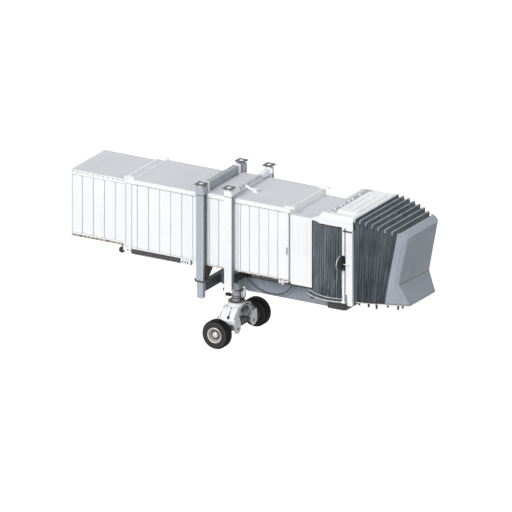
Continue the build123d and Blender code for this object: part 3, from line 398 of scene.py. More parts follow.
line = bpy.data.curves.new("hanging_supply_cable", "CURVE")
line.dimensions = "3D"
spline = line.splines.new("NURBS")
spline.points.add(len(CABLE_ROUTE) - 1)
spline.points.foreach_set("co", np.c_[CABLE_ROUTE, np.ones(len(CABLE_ROUTE))].ravel())
spline.order_u, spline.use_endpoint_u = 3, True
line.resolution_u, line.bevel_resolution = 12, 5
line.use_fill_caps = True
cable = stand("hanging_supply_cable", line)
thin = bpy.data.meshes.new_from_object(cable)
bpy.data.meshes.remove(thin)
line.bevel_depth = CABLE_THICK / 2
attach(cable, "tunnel_c")
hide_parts("supply_cable")

# %% [markdown]
# Finishes read Object coordinates, so they stay on the metal when the bridge moves. Each starts from
# one colour and then gets what real paint has: slow changes of tone, a grain that catches light, and
# grime that runs down or gathers.

# %% Helpers for finishes


def begin(name, colour, rough, metal=0.0):
    """A new material, its tree, and its main shader with a colour, a roughness and a metal share."""
    material = bpy.data.materials.new(name)
    material.use_nodes = True
    tree = material.node_tree
    shader = tree.nodes["Principled BSDF"]
    for key, value in (("Base Color", colour), ("Roughness", rough), ("Metallic", metal)):
        feed(tree, shader.inputs[key], value)
    return material, tree, shader


def where(tree, source="Object"):
    """The chosen coordinates as separate X, Y and Z outputs."""
    return node(tree, "SeparateXYZ", {0: node(tree, "TexCoord").outputs[source]}).outputs


def clouds(tree, scale, stretch=(1, 1, 1), detail=5.0, low=0.35, high=0.65):
    """Noise from 0 to 1 over Object coordinates, its middle part spread to the full range."""
    scales = [scale * s for s in stretch]
    at = node(tree, "Mapping", {0: node(tree, "TexCoord").outputs["Object"], "Scale": scales})
    noise = node(tree, "TexNoise", {"Vector": at.outputs[0], "Scale": 1.0, "Detail": detail})
    return node(tree, "MapRange", {0: noise.outputs[0], 1: low, 2: high}).outputs[0]


def mix(tree, factor, a, b):
    """One colour where the factor is 0 and another where it is 1."""
    return node(tree, "Mix", {0: factor, 6: a, 7: b}, data_type="RGBA").outputs[2]


def colour_with(tree, shader, colour):
    """Links a colour to the shader."""
    tree.links.new(colour, shader.inputs["Base Color"])


def relief(tree, shader, height, deep, strength=1.0):
    """Bump from a height of 0 to 1 that stands for a real depth in metres."""
    bump = node(tree, "Bump", {"Strength": strength, "Distance": deep, "Height": height})
    tree.links.new(bump.outputs[0], shader.inputs["Normal"])


def sheen_change(tree, shader, factor, low, high):
    """Roughness that goes from low to high with a factor."""
    spread = node(tree, "MapRange", {0: factor, 3: low, 4: high})
    tree.links.new(spread.outputs[0], shader.inputs["Roughness"])


print("finish helpers ready")

# %% [markdown]
# The walls of the tunnels are ribbed steel sheet under white paint. The ribs are in the CAD mesh, and
# paint alone would leave them too faint to read, because both the sheet and its grooves catch the
# same soft light. What the eye sees in a real groove is dust and shade, so the paint turns a little
# grey-blue at the depth of the grooves, found from how far the point is from the middle plane.

# %% White paint, and the panel walls
GROOVE_DEPTHS, GROOVE_HALF = (1.365, 1.425, 1.485), 0.004
GROOVE_TINT = (192, 199, 207)
LEVEL_NORMAL = 0.6


def white_paint(name, clean, dull, grime, rough=0.42):
    """White paint, dull in slow clouds, with faint rain streaks: noise drawn out along Z."""
    material, tree, shader = begin(name, clean, rough)
    slow, streaks = clouds(tree, 0.7), clouds(tree, 5.0, (1, 1, 0.08), low=0.52, high=0.80)
    paint = mix(tree, slow, clean, dull)
    paint = mix(tree, sums(tree, "MULTIPLY", streaks, 0.35), paint, grime)
    colour_with(tree, shader, paint)
    sheen_change(tree, shader, clouds(tree, 3.0), rough - 0.07, rough + 0.12)
    relief(tree, shader, clouds(tree, 240.0, detail=2.0), 0.0004, 0.35)
    return material, tree, shader, paint


def panel_paint():
    """White paint with shade where |Y| is within GROOVE_HALF of one of the groove depths."""
    whites = (249, 250, 251), (244, 246, 248), (232, 235, 238)
    material, tree, shader, paint = white_paint("panel_paint", *whites)
    depth = sums(tree, "ABSOLUTE", where(tree)["Y"])
    inside = 0.0
    for groove in GROOVE_DEPTHS:
        off = sums(tree, "ABSOLUTE", sums(tree, "SUBTRACT", depth, groove))
        inside = sums(tree, "MAXIMUM", inside, sums(tree, "LESS_THAN", off, GROOVE_HALF))
    uneven = clouds(tree, 1.1, (1, 0.1, 0.1), low=0.30, high=0.62)
    held = sums(tree, "MULTIPLY", inside, sums(tree, "MULTIPLY_ADD", uneven, 0.75, 0.5))
    colour_with(tree, shader, mix(tree, held, paint, GROOVE_TINT))
    return material


def roof_coating():
    """Grey coating where the normal's Z is over LEVEL_NORMAL, white paint on the upright fascia."""
    greys = (218, 220, 224), (212, 214, 219), (202, 204, 208)
    material, tree, shader, paint = white_paint("roof_coat", *greys, 0.6)
    normal = node(tree, "NewGeometry").outputs["True Normal"]
    up = node(tree, "SeparateXYZ", {0: normal}).outputs["Z"]
    level_part = sums(tree, "GREATER_THAN", up, LEVEL_NORMAL)
    colour_with(tree, shader, mix(tree, level_part, (249, 250, 251), paint))
    return material


panel, roof_paint = panel_paint(), roof_coating()
frame_white = white_paint("frame_white", (248, 249, 250), (240, 242, 245), (222, 226, 230))[0]
print("white finishes:", panel.name, frame_white.name, roof_paint.name)

# %% [markdown]
# The lifting columns are painted a blue-grey. The face towards the light looks pale, and the sides
# dark, which is the light's own work, and on the side that faces the cab also painted shade. A paler
# tone shows where edges stick out, as wear, and on the blue-grey partly as a painted highlight: the
# Bevel node gives a normal that is rounded at an edge, and where it differs from the true one there is
# an edge.

# %% Blue-grey, dark and grey paints
EDGE_TURN_FROM, EDGE_TURN_FULL = 0.985, 0.85


def edges_of(tree, reach):
    """1 at an edge and 0 on a flat: how far the normal rounded over reach turns from the true one."""
    soft = node(tree, "Bevel", {"Radius": reach}, samples=4).outputs[0]
    true = node(tree, "NewGeometry").outputs["True Normal"]
    turn = node(tree, "VectorMath", {0: soft, 1: true}, operation="DOT_PRODUCT").outputs["Value"]
    return node(tree, "MapRange", {0: turn, 1: EDGE_TURN_FROM, 2: EDGE_TURN_FULL}).outputs[0]


def machine_paint(name, colour, wear_and_highlight, grime, rough=0.45, reach=0.012, dirt=0.6):
    """Machine enamel: grime in clouds and streaks, and a paler tone where edges stick out: wear, and on
    the blue-grey partly a painted highlight.
    """
    material, tree, shader = begin(name, colour, rough)
    streaks = clouds(tree, 11.0, (1, 1, 0.3), low=0.45, high=0.75)
    dirty = sums(tree, "MULTIPLY", clouds(tree, 2.6, detail=8.0), streaks)
    paint = mix(tree, sums(tree, "MULTIPLY", dirty, dirt), colour, grime)
    edge_wear_and_highlight = sums(tree, "MULTIPLY", edges_of(tree, reach), clouds(tree, 14.0, low=0.32, high=0.55))
    colour_with(tree, shader, mix(tree, edge_wear_and_highlight, paint, wear_and_highlight))
    sheen_change(tree, shader, dirty, rough - 0.05, rough + 0.25)
    relief(tree, shader, clouds(tree, 90.0, detail=3.0), 0.0006, 0.5)
    return material


MACHINE_PAINTS = [
    # The blue-grey's pale edge tone is partly wear and partly a painted highlight along the columns'
    # edges.
    ("blue_grey_paint", (175, 184, 194), (226, 232, 239), (145, 153, 163), 0.45, 0.02, 0.35),
    ("beam_paint", (142, 150, 161), (180, 187, 196), (112, 117, 124), 0.45, 0.012, 0.4),
    ("dark_paint", (62, 64, 67), (120, 121, 120), (36, 36, 37), 0.5),
    ("grey_paint", (168, 172, 177), (214, 216, 218), (104, 105, 106), 0.42),
    ("chassis_paint", (80, 84, 89), (128, 130, 132), (52, 54, 57), 0.48),
    ("black_plastic", (36, 37, 40), (70, 71, 73), (22, 22, 23), 0.4, 0.004),
    ("lug_paint", (240, 241, 242), (248, 248, 248), (150, 150, 148), 0.42),
    ("top_beam_paint", (160, 166, 175), (196, 201, 208), (116, 121, 128), 0.45, 0.012, 0.5),
    ("underside_paint", (66, 64, 61), (150, 140, 122), (112, 92, 66), 0.55, 0.012, 1.0),
    ("canopy_bumper", (226, 222, 212), (240, 238, 232), (190, 184, 172), 0.5),
    # This grey is painted shade, on plates over the columns' sides and the webs beside the cab's posts.
    ("painted_shade_plate", (140, 146, 153), (172, 177, 183), (104, 108, 113), 0.5, 0.012, 0.3),
    ("cap_steel", (66, 68, 71), (190, 191, 192), (40, 40, 41), 0.4, 0.016),
    ("joint_paint", (118, 118, 116), (188, 188, 186), (62, 60, 56), 0.6),
    ("cable_rubber", (34, 35, 37), (74, 75, 77), (20, 20, 21), 0.5, 0.004)]
(blue_paint, beam_paint, dark_paint, grey_paint, chassis_paint, black_plastic, lug_paint,
 top_beam_paint, underside_paint, trim_paint, shade_plate_paint, cap_steel, joint_paint,
 cable_rubber) = [machine_paint(*row) for row in MACHINE_PAINTS]
cable.data.materials.append(cable_rubber)
print("machine paints:", len(MACHINE_PAINTS))

# %% [markdown]
# Some pieces wear two paints that meet in a straight line: a white floor edge over a dirty sill, the
# drum's dark top, which is painted shade under the curtains, over its pale ring, a mirror's dark shell
# and white back. The line is where one Object coordinate passes a level. On the sills, noise drawn
# out across X makes spots that run along it.

# %% Two-tone paints
SILL_GRIME = (88, 84, 78)
COAT_FROM_X, COAT_WITHIN_Y, COAT_Z = 10.800, 1.420, (2.655, 2.975)
BROWN, BEIGE, CLEAN = (108, 94, 76), (206, 198, 182), (246, 247, 248)


def split_paint(name, letter, level, below, above, dots=None, rough=0.5):
    """One paint where a coordinate, or its size if level > 0, is under level, another above it."""
    material, tree, shader = begin(name, above, rough)
    size = sums(tree, "ABSOLUTE", where(tree)[letter]) if level > 0 else where(tree)[letter]
    lower = sums(tree, "LESS_THAN", size, level)
    dirty = sums(tree, "MULTIPLY", clouds(tree, 5.0, detail=7.0), 0.35)
    under = mix(tree, dirty, below, SILL_GRIME)
    if dots:
        spots = clouds(tree, 12.0, (1, 0.05, 0.05), detail=3.0, low=0.46, high=0.56)
        under = mix(tree, spots, under, dots)
    colour_with(tree, shader, mix(tree, lower, above, under))
    sheen_change(tree, shader, dirty, rough, rough + 0.25)
    relief(tree, shader, clouds(tree, 60.0, detail=3.0), 0.0008, 0.5)
    return material


def coated_end(name, white, coat, patchy):
    """White paint, with roof coating past COAT_FROM_X, within COAT_WITHIN_Y and between COAT_Z."""
    material, tree, shader = begin(name, white, 0.55)
    at = where(tree)
    past = sums(tree, "GREATER_THAN", at["X"], COAT_FROM_X)
    for inside in (sums(tree, "GREATER_THAN", at["Z"], COAT_Z[0]),
                   sums(tree, "LESS_THAN", sums(tree, "ABSOLUTE", at["Y"]), COAT_WITHIN_Y),
                   sums(tree, "LESS_THAN", at["Z"], COAT_Z[1])):
        past = sums(tree, "MULTIPLY", past, inside)
    colour_with(tree, shader, mix(tree, past, white, mix(tree, clouds(tree, 3.0), coat, patchy)))
    relief(tree, shader, clouds(tree, 70.0), 0.0006, 0.4)
    return material


sill_a = split_paint("sill_a", "Z", -0.045, BEIGE, CLEAN, BROWN)
sill_b = split_paint("sill_b", "Z", -0.190, (226, 220, 208), CLEAN, (176, 164, 144))
sill_c = split_paint("sill_c", "Z", -0.250, BEIGE, (240, 240, 238), BROWN)
end_coat = coated_end("end_frame_coat", (248, 249, 250), (212, 214, 218), (200, 202, 206))
# The drum ring's dark part above Z = -0.62 is painted shade under the curtains' hem.
drum_paint = split_paint("drum_ring_paint", "Z", -0.620, (228, 224, 214), (104, 110, 118))
shell_paint = split_paint("mirror_shell", "X", 13.480, (30, 31, 33), (242, 243, 245), rough=0.35)
edge_paint = split_paint("floor_edge_paint", "Z", -0.392, (90, 82, 72), (250, 250, 251), (58, 52, 46))
bracket_paint = split_paint("bracket_paint", "Y", 0.955, (206, 209, 213), (240, 242, 245))
print("all paints:", len(bpy.data.materials))

# %% [markdown]
# Rubber is black but never quite black: dust greys the side walls, and the tread is scuffed. The rim
# is bare steel that was turned on a lathe, so its brightness runs in rings. Both patterns are round
# the axle, so they read the distance from it, the square root of x^2 + z^2 about the wheel's middle.

# %% Rubber, steel and glass
AXLE_X, AXLE_Z = 7.2, -3.167
# The pale step at 0.525 m in these stops is a painted highlight on the side wall.
WALL_TONES_AND_HIGHLIGHT = [(0.30, 46), (0.34, 62), (0.49, 54), (0.525, 74), (0.555, 46), (0.59, 26), (0.63, 18)]
# The dark band in these stops is painted shade in the rim's well.
WELL_SHADE_RINGS = [(0.12, 255), (0.150, 190), (0.168, 66), (0.205, 78), (0.228, 205), (0.262, 190),
              (0.290, 255)]
LATHE_RINGS_A_METRE = 60.0


def axle_distance(tree):
    """Distance from the axle's line, from Object coordinates."""
    at = where(tree)
    x, z = sums(tree, "SUBTRACT", at["X"], AXLE_X), sums(tree, "SUBTRACT", at["Z"], AXLE_Z)
    squares = sums(tree, "ADD", sums(tree, "MULTIPLY", x, x), sums(tree, "MULTIPLY", z, z))
    return sums(tree, "SQRT", squares)


def by_radius(tree, stops):
    """A grey that follows the distance from the axle through (distance, level) stops."""
    ramp = node(tree, "ValToRGB", {0: axle_distance(tree)})
    line = ramp.color_ramp.elements
    line.remove(line[1])
    line[0].position = stops[0][0]
    for at, _ in stops[1:]:
        line.new(at)
    for stop, (_, level) in zip(line, stops):
        stop.color = tone(level, level, level)
    return ramp.outputs[0]


def tyre_rubber():
    """Rubber: greyer on the side wall with one pale ring that is a painted highlight, nearly black on
    the tread, dusty.
    """
    material, tree, shader = begin("tyre_rubber", (30, 30, 32), 0.75)
    shader.inputs["Specular IOR Level"].default_value = 0.12
    dusty = sums(tree, "MULTIPLY", clouds(tree, 4.0, detail=2.0), 0.07)
    colour_with(tree, shader, mix(tree, dusty, by_radius(tree, WALL_TONES_AND_HIGHLIGHT), (92, 91, 88)))
    sheen_change(tree, shader, clouds(tree, 9.0), 0.62, 0.86)
    relief(tree, shader, clouds(tree, 120.0, detail=3.0), 0.001, 0.5)
    return material


def turned_steel(name, bright, dull, rough):
    """Bright steel whose tone changes in fine rings about the axle, with a dark well of painted shade.
    """
    material, tree, shader = begin(name, bright, rough, 0.55)
    paces = sums(tree, "MULTIPLY", axle_distance(tree), LATHE_RINGS_A_METRE)
    rings = node(tree, "TexNoise", {"W": paces}, noise_dimensions="1D").outputs[0]
    parts = {"Factor": 1.0, "A": mix(tree, rings, bright, dull), "B": by_radius(tree, WELL_SHADE_RINGS)}
    well = node(tree, "Mix", parts, data_type="RGBA", blend_type="MULTIPLY").outputs["Result"]
    colour_with(tree, shader, well)
    sheen_change(tree, shader, clouds(tree, 12.0), rough - 0.08, rough + 0.15)
    return material


def silver_glass():
    """A mirror: polished metal, very slightly wavy, with a film of dust that is rougher."""
    material, tree, shader = begin("mirror_glass", (236, 240, 243), 0.05, 1.0)
    sheen_change(tree, shader, clouds(tree, 6.0), 0.03, 0.16)
    relief(tree, shader, clouds(tree, 4.0, detail=1.0), 0.0008, 0.2)
    return material


rubber, mirror_face = tyre_rubber(), silver_glass()
rim_steel = turned_steel("rim_steel", (226, 223, 216), (188, 184, 176), 0.38)
print("wheel and mirror finishes ready")

# %% [markdown]
# Every CAD node now gets its finish. The node keeps its mesh, and only its material slots change.
# It could be one call for each node. A table that gives each finish and the nodes that wear it is
# easier to read, and shows at once what is painted alike.

# %% Finishes on the CAD nodes
FINISHES = [
    (panel, "near_wall_a", "far_wall_a", "near_wall_b", "far_wall_b", "near_wall_c", "far_wall_c"),
    (frame_white, "inner_end_frame", "ring_frame_b", "under_brackets_b", "tray_bracket",
     "roof_stay", "vestibule_walls", "white_columns", "yoke", "cab_hood", "front_columns"),
    (cap_steel, "portal_caps"), (sill_a, "floor_a"), (sill_b, "floor_b"), (sill_c, "floor_c"),
    (trim_paint, "canopy_trim"), (drum_paint, "drum_ring"), (shell_paint, "mirror"),
    (edge_paint, "vestibule_floor"),
    (roof_paint, "roof_a", "roof_b", "roof_c", "vestibule_roof", "cab_rear_roof"),
    (black_plastic, "rollers", "cable_chain", "rollers_c", "cable_glands", "drive_motor"),
    (dark_paint, "cable_tray", "cross_members", "axle"),
    (underside_paint, "cab_base", "cab_floor"), (chassis_paint, "cross_beam"),
    (blue_paint, "blue_columns", "inner_legs"), (top_beam_paint, "blue_top_beam"),
    (end_coat, "end_frame_c"), (beam_paint, "under_beam", "saddle_beam"),
    (grey_paint, "slewing_post"), (bracket_paint, "white_top_beam"),
    (rubber, "tyre_near", "tyre_far"), (rim_steel, "rim_near", "rim_far"),
    (mirror_face, "mirror_glass")]

for finish, *names in FINISHES:
    for name in names:
        for holder in nodes[name].material_slots:
            holder.material = finish
print("finished nodes:", sum(len(row) - 1 for row in FINISHES))

# %% [markdown]
# The canopy, the side curtains and the hoops are soft, and their CAD solids only stand for them in
# the collision model. They are replaced by real cloth further on. The cloth is a weave under a
# coating, read from the piece's own UV map in metres. On the curtains it is paler on the crests of
# the pleats, a painted highlight.

# %% Cloth finishes
DRUM_X = 12.650
THREAD_PITCH = 0.004
# The crests' pale colour here is a painted highlight on the curtains' pleats.
CREST_FROM, CREST_REACH, CREST_HIGHLIGHT = 1.742, 0.007, (158, 166, 176)


def coated_cloth(name, colour, faded, grime, rough=0.62, mottle=0.6):
    """Coated polyester: a weave of 4 mm read from the UV map in metres, with fading in clouds."""
    material, tree, shader = begin(name, colour, rough)
    cloth = mix(tree, clouds(tree, 1.1, detail=4.0), colour, faded)
    spots = clouds(tree, 5.0, (1, 1, 0.25), detail=8.0, low=0.5, high=0.8)
    cloth = mix(tree, sums(tree, "MULTIPLY", spots, mottle), cloth, grime)
    colour_with(tree, shader, cloth)
    at, pace = where(tree, "UV"), 2 * math.pi / THREAD_PITCH
    threads = [sums(tree, "SINE", sums(tree, "MULTIPLY", at[k], pace)) for k in ("X", "Y")]
    weave = sums(tree, "MULTIPLY_ADD", sums(tree, "MULTIPLY", *threads), 0.5, 0.5)
    soft = clouds(tree, 16.0, detail=3.0)
    relief(tree, shader, sums(tree, "ADD", sums(tree, "MULTIPLY", weave, 0.25), soft), 0.0015, 0.5)
    sheen_change(tree, shader, clouds(tree, 4.0), rough - 0.1, rough + 0.12)
    return material, tree, shader, cloth


def crest_highlights(tree, shader, cloth):
    """A painted highlight where (sqrt((x - DRUM_X)^2 + y^2) - CREST_FROM) / CREST_REACH, kept within 0
    and 1.
    """
    at = where(tree)
    x, y = sums(tree, "SUBTRACT", at["X"], DRUM_X), at["Y"]
    away = sums(tree, "ADD", sums(tree, "MULTIPLY", x, x), sums(tree, "MULTIPLY", y, y))
    proud = sums(tree, "SUBTRACT", sums(tree, "SQRT", away), CREST_FROM)
    on_crest = sums(tree, "MULTIPLY", proud, 1 / CREST_REACH, clamp=True)
    patches = clouds(tree, 2.2, (1, 1, 0.25), low=0.2, high=0.55)
    uneven = sums(tree, "MULTIPLY", on_crest, patches)
    colour_with(tree, shader, mix(tree, uneven, cloth, CREST_HIGHLIGHT))


pleat_cloth = coated_cloth("pleat_cloth", (64, 69, 77), (85, 91, 100), (40, 44, 49), 0.5)[0]
# The hoops' cloth is paler than the folds' cloth as a painted highlight.
hoop_highlight_cloth = coated_cloth("hoop_highlight_cloth", (124, 134, 147), (158, 168, 179), (84, 91, 100), 0.42)[0]
curtain_cloth, *curtain_parts = coated_cloth("curtain_cloth", (70, 75, 83), (90, 96, 105),
                                             (46, 50, 56), 0.46)
front_cloth, front_tree, front_shader, front_plain = coated_cloth(
    "front_cloth", (157, 165, 175), (164, 172, 182), (150, 152, 153), 0.66, 0.35)
crest_highlights(*curtain_parts)
print("cloth finishes ready")

# %% [markdown]
# Small rigid pieces are put on a body in rows of name, shape and paint.


def details(body, *rows):
    """Puts rigid pieces on one body, each a row of name, shape and paint."""
    for name, shape, paint in rows:
        put(name, shape, paint, body)


# %% [markdown]
# The canopy between the cab and the aircraft is one sheet of coated cloth, sewn under eight hoops and
# folded like an accordion. Its sides fan out from a short foot to a longer sloping roof. It could be
# made of many flat strips, but one grid is simpler: a section, from the near foot over the roof to
# the far foot, is carried from the cab to the front, and then pushed inwards where a fold is.

# %% Lines of the canopy
HOOPS, HOOP_THICK, HOOP_LEG, SHOULDER = 8, 0.027, 0.150, 0.11
FOOT_Z, PAST_LAST = -0.512, 1.035
HOOP_START, HOOP_CHANGE, HOOP_POWER = (13.905, 1.854, 3.142), (1.933, -0.437, -0.467), (1, 2.6, 1.4)
FOOT_START, FOOT_CHANGE, FOOT_POWER = (13.950, 1.799), (1.326, -0.416), (1, 1.5)
chance = np.random.default_rng(7)


def hoop_line(t):
    """Place, half width and height of the roof line: start + change * t^power, t = 0 at the cab."""
    return [a + b * t ** p for a, b, p in zip(HOOP_START, HOOP_CHANGE, HOOP_POWER)]


def foot_line(t):
    """Place and half width of the cloth's foot: start + change * t^power, t = 1 at the front."""
    return [a + b * t ** p for a, b, p in zip(FOOT_START, FOOT_CHANGE, FOOT_POWER)]


def half_section(t, up, turn, over):
    """Half the section at each t: up rows straight, turn rows round the shoulder, over rows to Y = 0.

    Gives X, Y and Z as grids of rows by t, and the turn a; (0, -cos a, -sin a) points inwards."""
    x_top, half, z_top = hoop_line(t * PAST_LAST)
    x_foot, half_foot = foot_line(t)
    half, z_roof = half - 2 * HOOP_THICK - 0.001, z_top - HOOP_THICK - 0.004
    q = np.linspace(0, 1, up)[:, None]
    z = FOOT_Z + (z_roof - SHOULDER - FOOT_Z) * q
    v = (z - FOOT_Z) / (z_top - FOOT_Z)
    x, y = x_foot + (x_top - x_foot) * v, half_foot + (half - half_foot) * v
    a = np.linspace(0, np.pi / 2, turn + 1)[1:, None]
    x_turn = x[-1] + (x_top - x[-1]) * np.sin(a)
    y_turn, z_turn = y[-1] - SHOULDER * (1 - np.cos(a)), z[-1] + SHOULDER * np.sin(a)
    share = np.linspace(0, 1, over + 1)[1:, None]
    x_all = np.concatenate([x, x_turn, x_top + 0 * share])
    y_all = np.concatenate([y, y_turn, y_turn[-1] * (1 - share)])
    z_all = np.concatenate([z, z_turn, z_roof + 0 * share])
    return x_all, y_all, z_all, np.concatenate([0 * q, a, np.pi / 2 + 0 * share])


def waves(t, s, count, low, high):
    """A smooth random field of size about 1: a mean of sines of random direction, pace and start."""
    pace = chance.uniform(low, high, (count, 2)) * chance.choice((-1, 1), (count, 2))
    start = chance.uniform(0, 2 * np.pi, count)
    field = [np.sin(2 * np.pi * (p[0] * t + p[1] * s) + b) for p, b in zip(pace, start)]
    return np.sum(field, axis=0) / math.sqrt(count)


def folds(p):
    """A row of folds: 0 where p is whole, 1 half way between, with round ridges and valleys."""
    return (0.5 - 0.5 * np.cos(2 * np.pi * p)) ** 0.8


print("canopy roof falls", round(hoop_line(0)[2] - hoop_line(1)[2], 3), "m")

# %% [markdown]
# Real folds are never alike. Each ridge wanders a little, some folds are deep and some shallow, and
# finer creases run beside them. So the place along the canopy gets a smooth random shift before it
# is made into folds, and the depth is a random field as well. On the roof there is one deep fold
# between each two hoops, steep behind a hoop and gentle towards the next, with fine gathers in it.

# %% Canopy cloth
SIDE_DEEP, ROOF_DEEP, FOLDS_A_GAP, STEEP = 0.062, 0.100, 3, 0.3
GATHER_PITCH, CLOTH_THICK = 0.055, 0.003
ACROSS, UP, TURN, OVER = 371, 40, 8, 13
t = np.linspace(0, 1, ACROSS)[None, :]


def canopy_side_depth(gap, s, near_top):
    """How far a side is pushed in: three main folds to a gap, and finer creases, of uneven depth."""
    shift = 0.42 * waves(t * 5, s * 0.5, 5, 0.4, 1.2) + 0.16 * waves(t * 14, s * 0.8, 4, 0.5, 1.6)
    shift = shift * (1 - near_top)
    uneven = np.clip(0.62 + 0.40 * waves(t * 22, s * 0.5, 6, 0.4, 1.2), 0.08, 1.0)
    main = folds(FOLDS_A_GAP * gap + shift)
    fine = folds(2.6 * FOLDS_A_GAP * gap + 2.2 * shift)
    return SIDE_DEEP * (0.86 * main * uneven + 0.14 * fine)


def canopy_roof_depth(gap, across):
    """How far the roof is pushed in: (g/S)^0.7 up to g = S of a gap, then (1 - (g-S)/(1-S))^1.1."""
    g = np.mod(gap, 1.0)
    steep = np.clip(g / STEEP, 0, 1) ** 0.7
    gentle = np.clip(1 - (g - STEEP) / (1 - STEEP), 0, 1) ** 1.1
    ribs = 0.05 * np.cos(2 * np.pi * 6 * g)
    gathers = 0.035 * np.sin(2 * np.pi * across / GATHER_PITCH)
    fine = (ribs + gathers) * np.sin(np.pi * g)
    return ROOF_DEEP * np.clip(np.where(g < STEEP, steep, gentle) + fine, 0, 1)


def canopy_half(side):
    """Half the cloth: the section moved inwards by the side's depth, blended into the roof's."""
    x, y, z, a = half_section(t, UP, TURN, OVER)
    gap = t * PAST_LAST * (HOOPS - 1)
    s = np.concatenate([np.linspace(0, 1, UP), np.ones(TURN + OVER)])[:, None]
    near_top = np.clip((s - 0.82) / 0.18, 0, 1) ** 2
    roof_share = np.clip(a / (np.pi / 2), 0, 1) ** 1.5
    depth = (1 - roof_share) * canopy_side_depth(gap, s, near_top)
    depth = depth + roof_share * canopy_roof_depth(gap, y)
    depth = np.where(gap > HOOPS - 1, depth * 0.3, depth)
    return np.stack([x + 0 * y, side * (y - depth * np.cos(a)), z - depth * np.sin(a)], -1)


def uv_grid(u, v):
    """UV coordinates in metres for a grid of points, from a row of u and a column of v."""
    return np.stack(np.broadcast_arrays(u, v), -1).reshape(-1, 2)


def thicken(piece, thick):
    """Gives a sheet its thickness inwards, with closed edges."""
    solid = piece.modifiers.new("thickness", "SOLIDIFY")
    solid.thickness, solid.offset, solid.use_rim = thick, -1.0, True


near, far = canopy_half(-1), canopy_half(1)
cloth = np.concatenate([near, far[::-1][1:]])
length_up = lengths_along(cloth[:, ACROSS // 2])
wide = lengths_along(cloth[UP // 2])[-1]
cloth_uv = uv_grid(np.linspace(0, wide, ACROSS)[None, :], length_up[:, None])
canopy_cloth = put("canopy_cloth", (cloth.reshape(-1, 3), grid_faces(len(cloth), ACROSS)),
                   pleat_cloth, "cab", cloth_uv, smooth=True)
thicken(canopy_cloth, CLOTH_THICK)
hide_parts("canopy_sides", "canopy_roof")

# %% [markdown]
# Each hoop is a bent tube in a sewn sleeve. The sleeve is painted paler than the folds, a painted
# highlight where it catches the light along its top, and its ends hang down outside the cloth. A hoop
# is one path, straight, round the shoulder, across, and down again, with a round section that swells
# and thins a little where the sleeve is stitched. A turned rubber cap closes each end, except under the
# front's own cloth.

# %% Canopy hoops
HOOP_BEND, STITCH_PITCH, SLEEVE_THICK, SLEEVE_SIDES = 0.06, 0.16, 0.033, 12
CAP = [(0.010, -0.022), (0.026, -0.020), (0.034, -0.012), (0.034, 0.016), (0.026, 0.02)]


def hoop_path(t):
    """The middle line of the hoop at t, from one leg's end over the roof to the other's."""
    x, half, z = hoop_line(t)
    half -= HOOP_THICK
    legs = [(x, -half, z - HOOP_LEG), (x, -half, z), (x, half, z), (x, half, z - HOOP_LEG)]
    return bend(*legs, radius=HOOP_BEND, steps=9)


def sleeve(path):
    """A tube of SLEEVE_THICK * (0.93 + 0.07 |sin|) along its length, as cloth between stitches."""
    points, at = spread_along(path, 0.02)
    round_tube, faces = pipe(points, 1.0, SLEEVE_SIDES)
    swell = SLEEVE_THICK * (0.93 + 0.07 * np.abs(np.sin(np.pi * at / STITCH_PITCH)))
    rings = round_tube.reshape(len(points), SLEEVE_SIDES, 3) - points[:, None]
    return (points[:, None] + rings * swell[:, None, None]).reshape(-1, 3), faces


hoop_paths = [hoop_path(k / (HOOPS - 1)) for k in range(HOOPS)]
canopy_hoops = put("canopy_hoop_sleeves", join(*[sleeve(p) for p in hoop_paths]), hoop_highlight_cloth,
                   "cab", smooth=True)
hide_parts("canopy_hoops")
ends = [p[k] for p in hoop_paths[:-1] for k in (0, -1)]
details("cab", ("canopy_hoop_caps", copies(turned(CAP, sides=12), ends), black_plastic))
print("hoops:", len(hoop_paths), "caps:", len(ends))

# %% [markdown]
# The front of the canopy is smooth: two cheeks that lean inwards and a face that leans back down to a
# waist and kicks forward again to the foot. It is one sheet of thick cloth over foam. In plan it is a
# cheek, a round corner, the face, a corner and a cheek, and that plan changes with height. So the
# sheet is a grid of plans, one for each height.

# %% Canopy front
WAIST, LIP, FRONT_THICK, WAIST_TILT, TURNED_IN = 0.333, 2.545, 0.010, 0.05, 0.012
CHEEK_HALF, CHEEK_UP, CHEEK_OUT = (1.438, 15.208, -0.532), 0.0627, 0.3566
CHEEK_BACK, CHEEK_HIGHEST = (15.160, 0.196), 2.715
FACE_X, FACE_ABOVE, FACE_BELOW, WAIST_SOFT = 15.744, 0.2116, 0.4935, 0.0009
SLOPE_TOP, SLOPE_X, SLOPE = 2.700, 15.922, 0.497


def cheek_half(x, z):
    """Half width of the cheek: CHEEK_UP wider a metre up and CHEEK_OUT narrower a metre out."""
    half, at_x, at_z = CHEEK_HALF
    return half + CHEEK_UP * (z - at_z) - CHEEK_OUT * (x - at_x)


def face_x(z):
    """Place of the face: it leans out from the waist, FACE_ABOVE a metre up, FACE_BELOW down."""
    lean = np.where(z > WAIST, FACE_ABOVE, FACE_BELOW)
    return FACE_X + lean * np.sqrt((z - WAIST) ** 2 + WAIST_SOFT)


def slope_z(x):
    """Height of the sloping top: SLOPE lower a metre on."""
    return SLOPE_TOP - SLOPE * (x - SLOPE_X)


def corner_round(before, corner, after, steps):
    """(1-t)^2 before + 2t(1-t) corner + t^2 after, for a whole column of corners at once."""
    k = np.linspace(0, 1, steps)[None, :, None]
    before, corner, after = before[:, None], corner[:, None], after[:, None]
    return (1 - k) ** 2 * before + 2 * k * (1 - k) * corner + k * k * after


def straight(a, b, steps):
    """Points from a to b, without b, for a whole column at once."""
    k = (np.arange(steps) / steps)[None, :, None]
    return a[:, None] * (1 - k) + b[:, None] * k


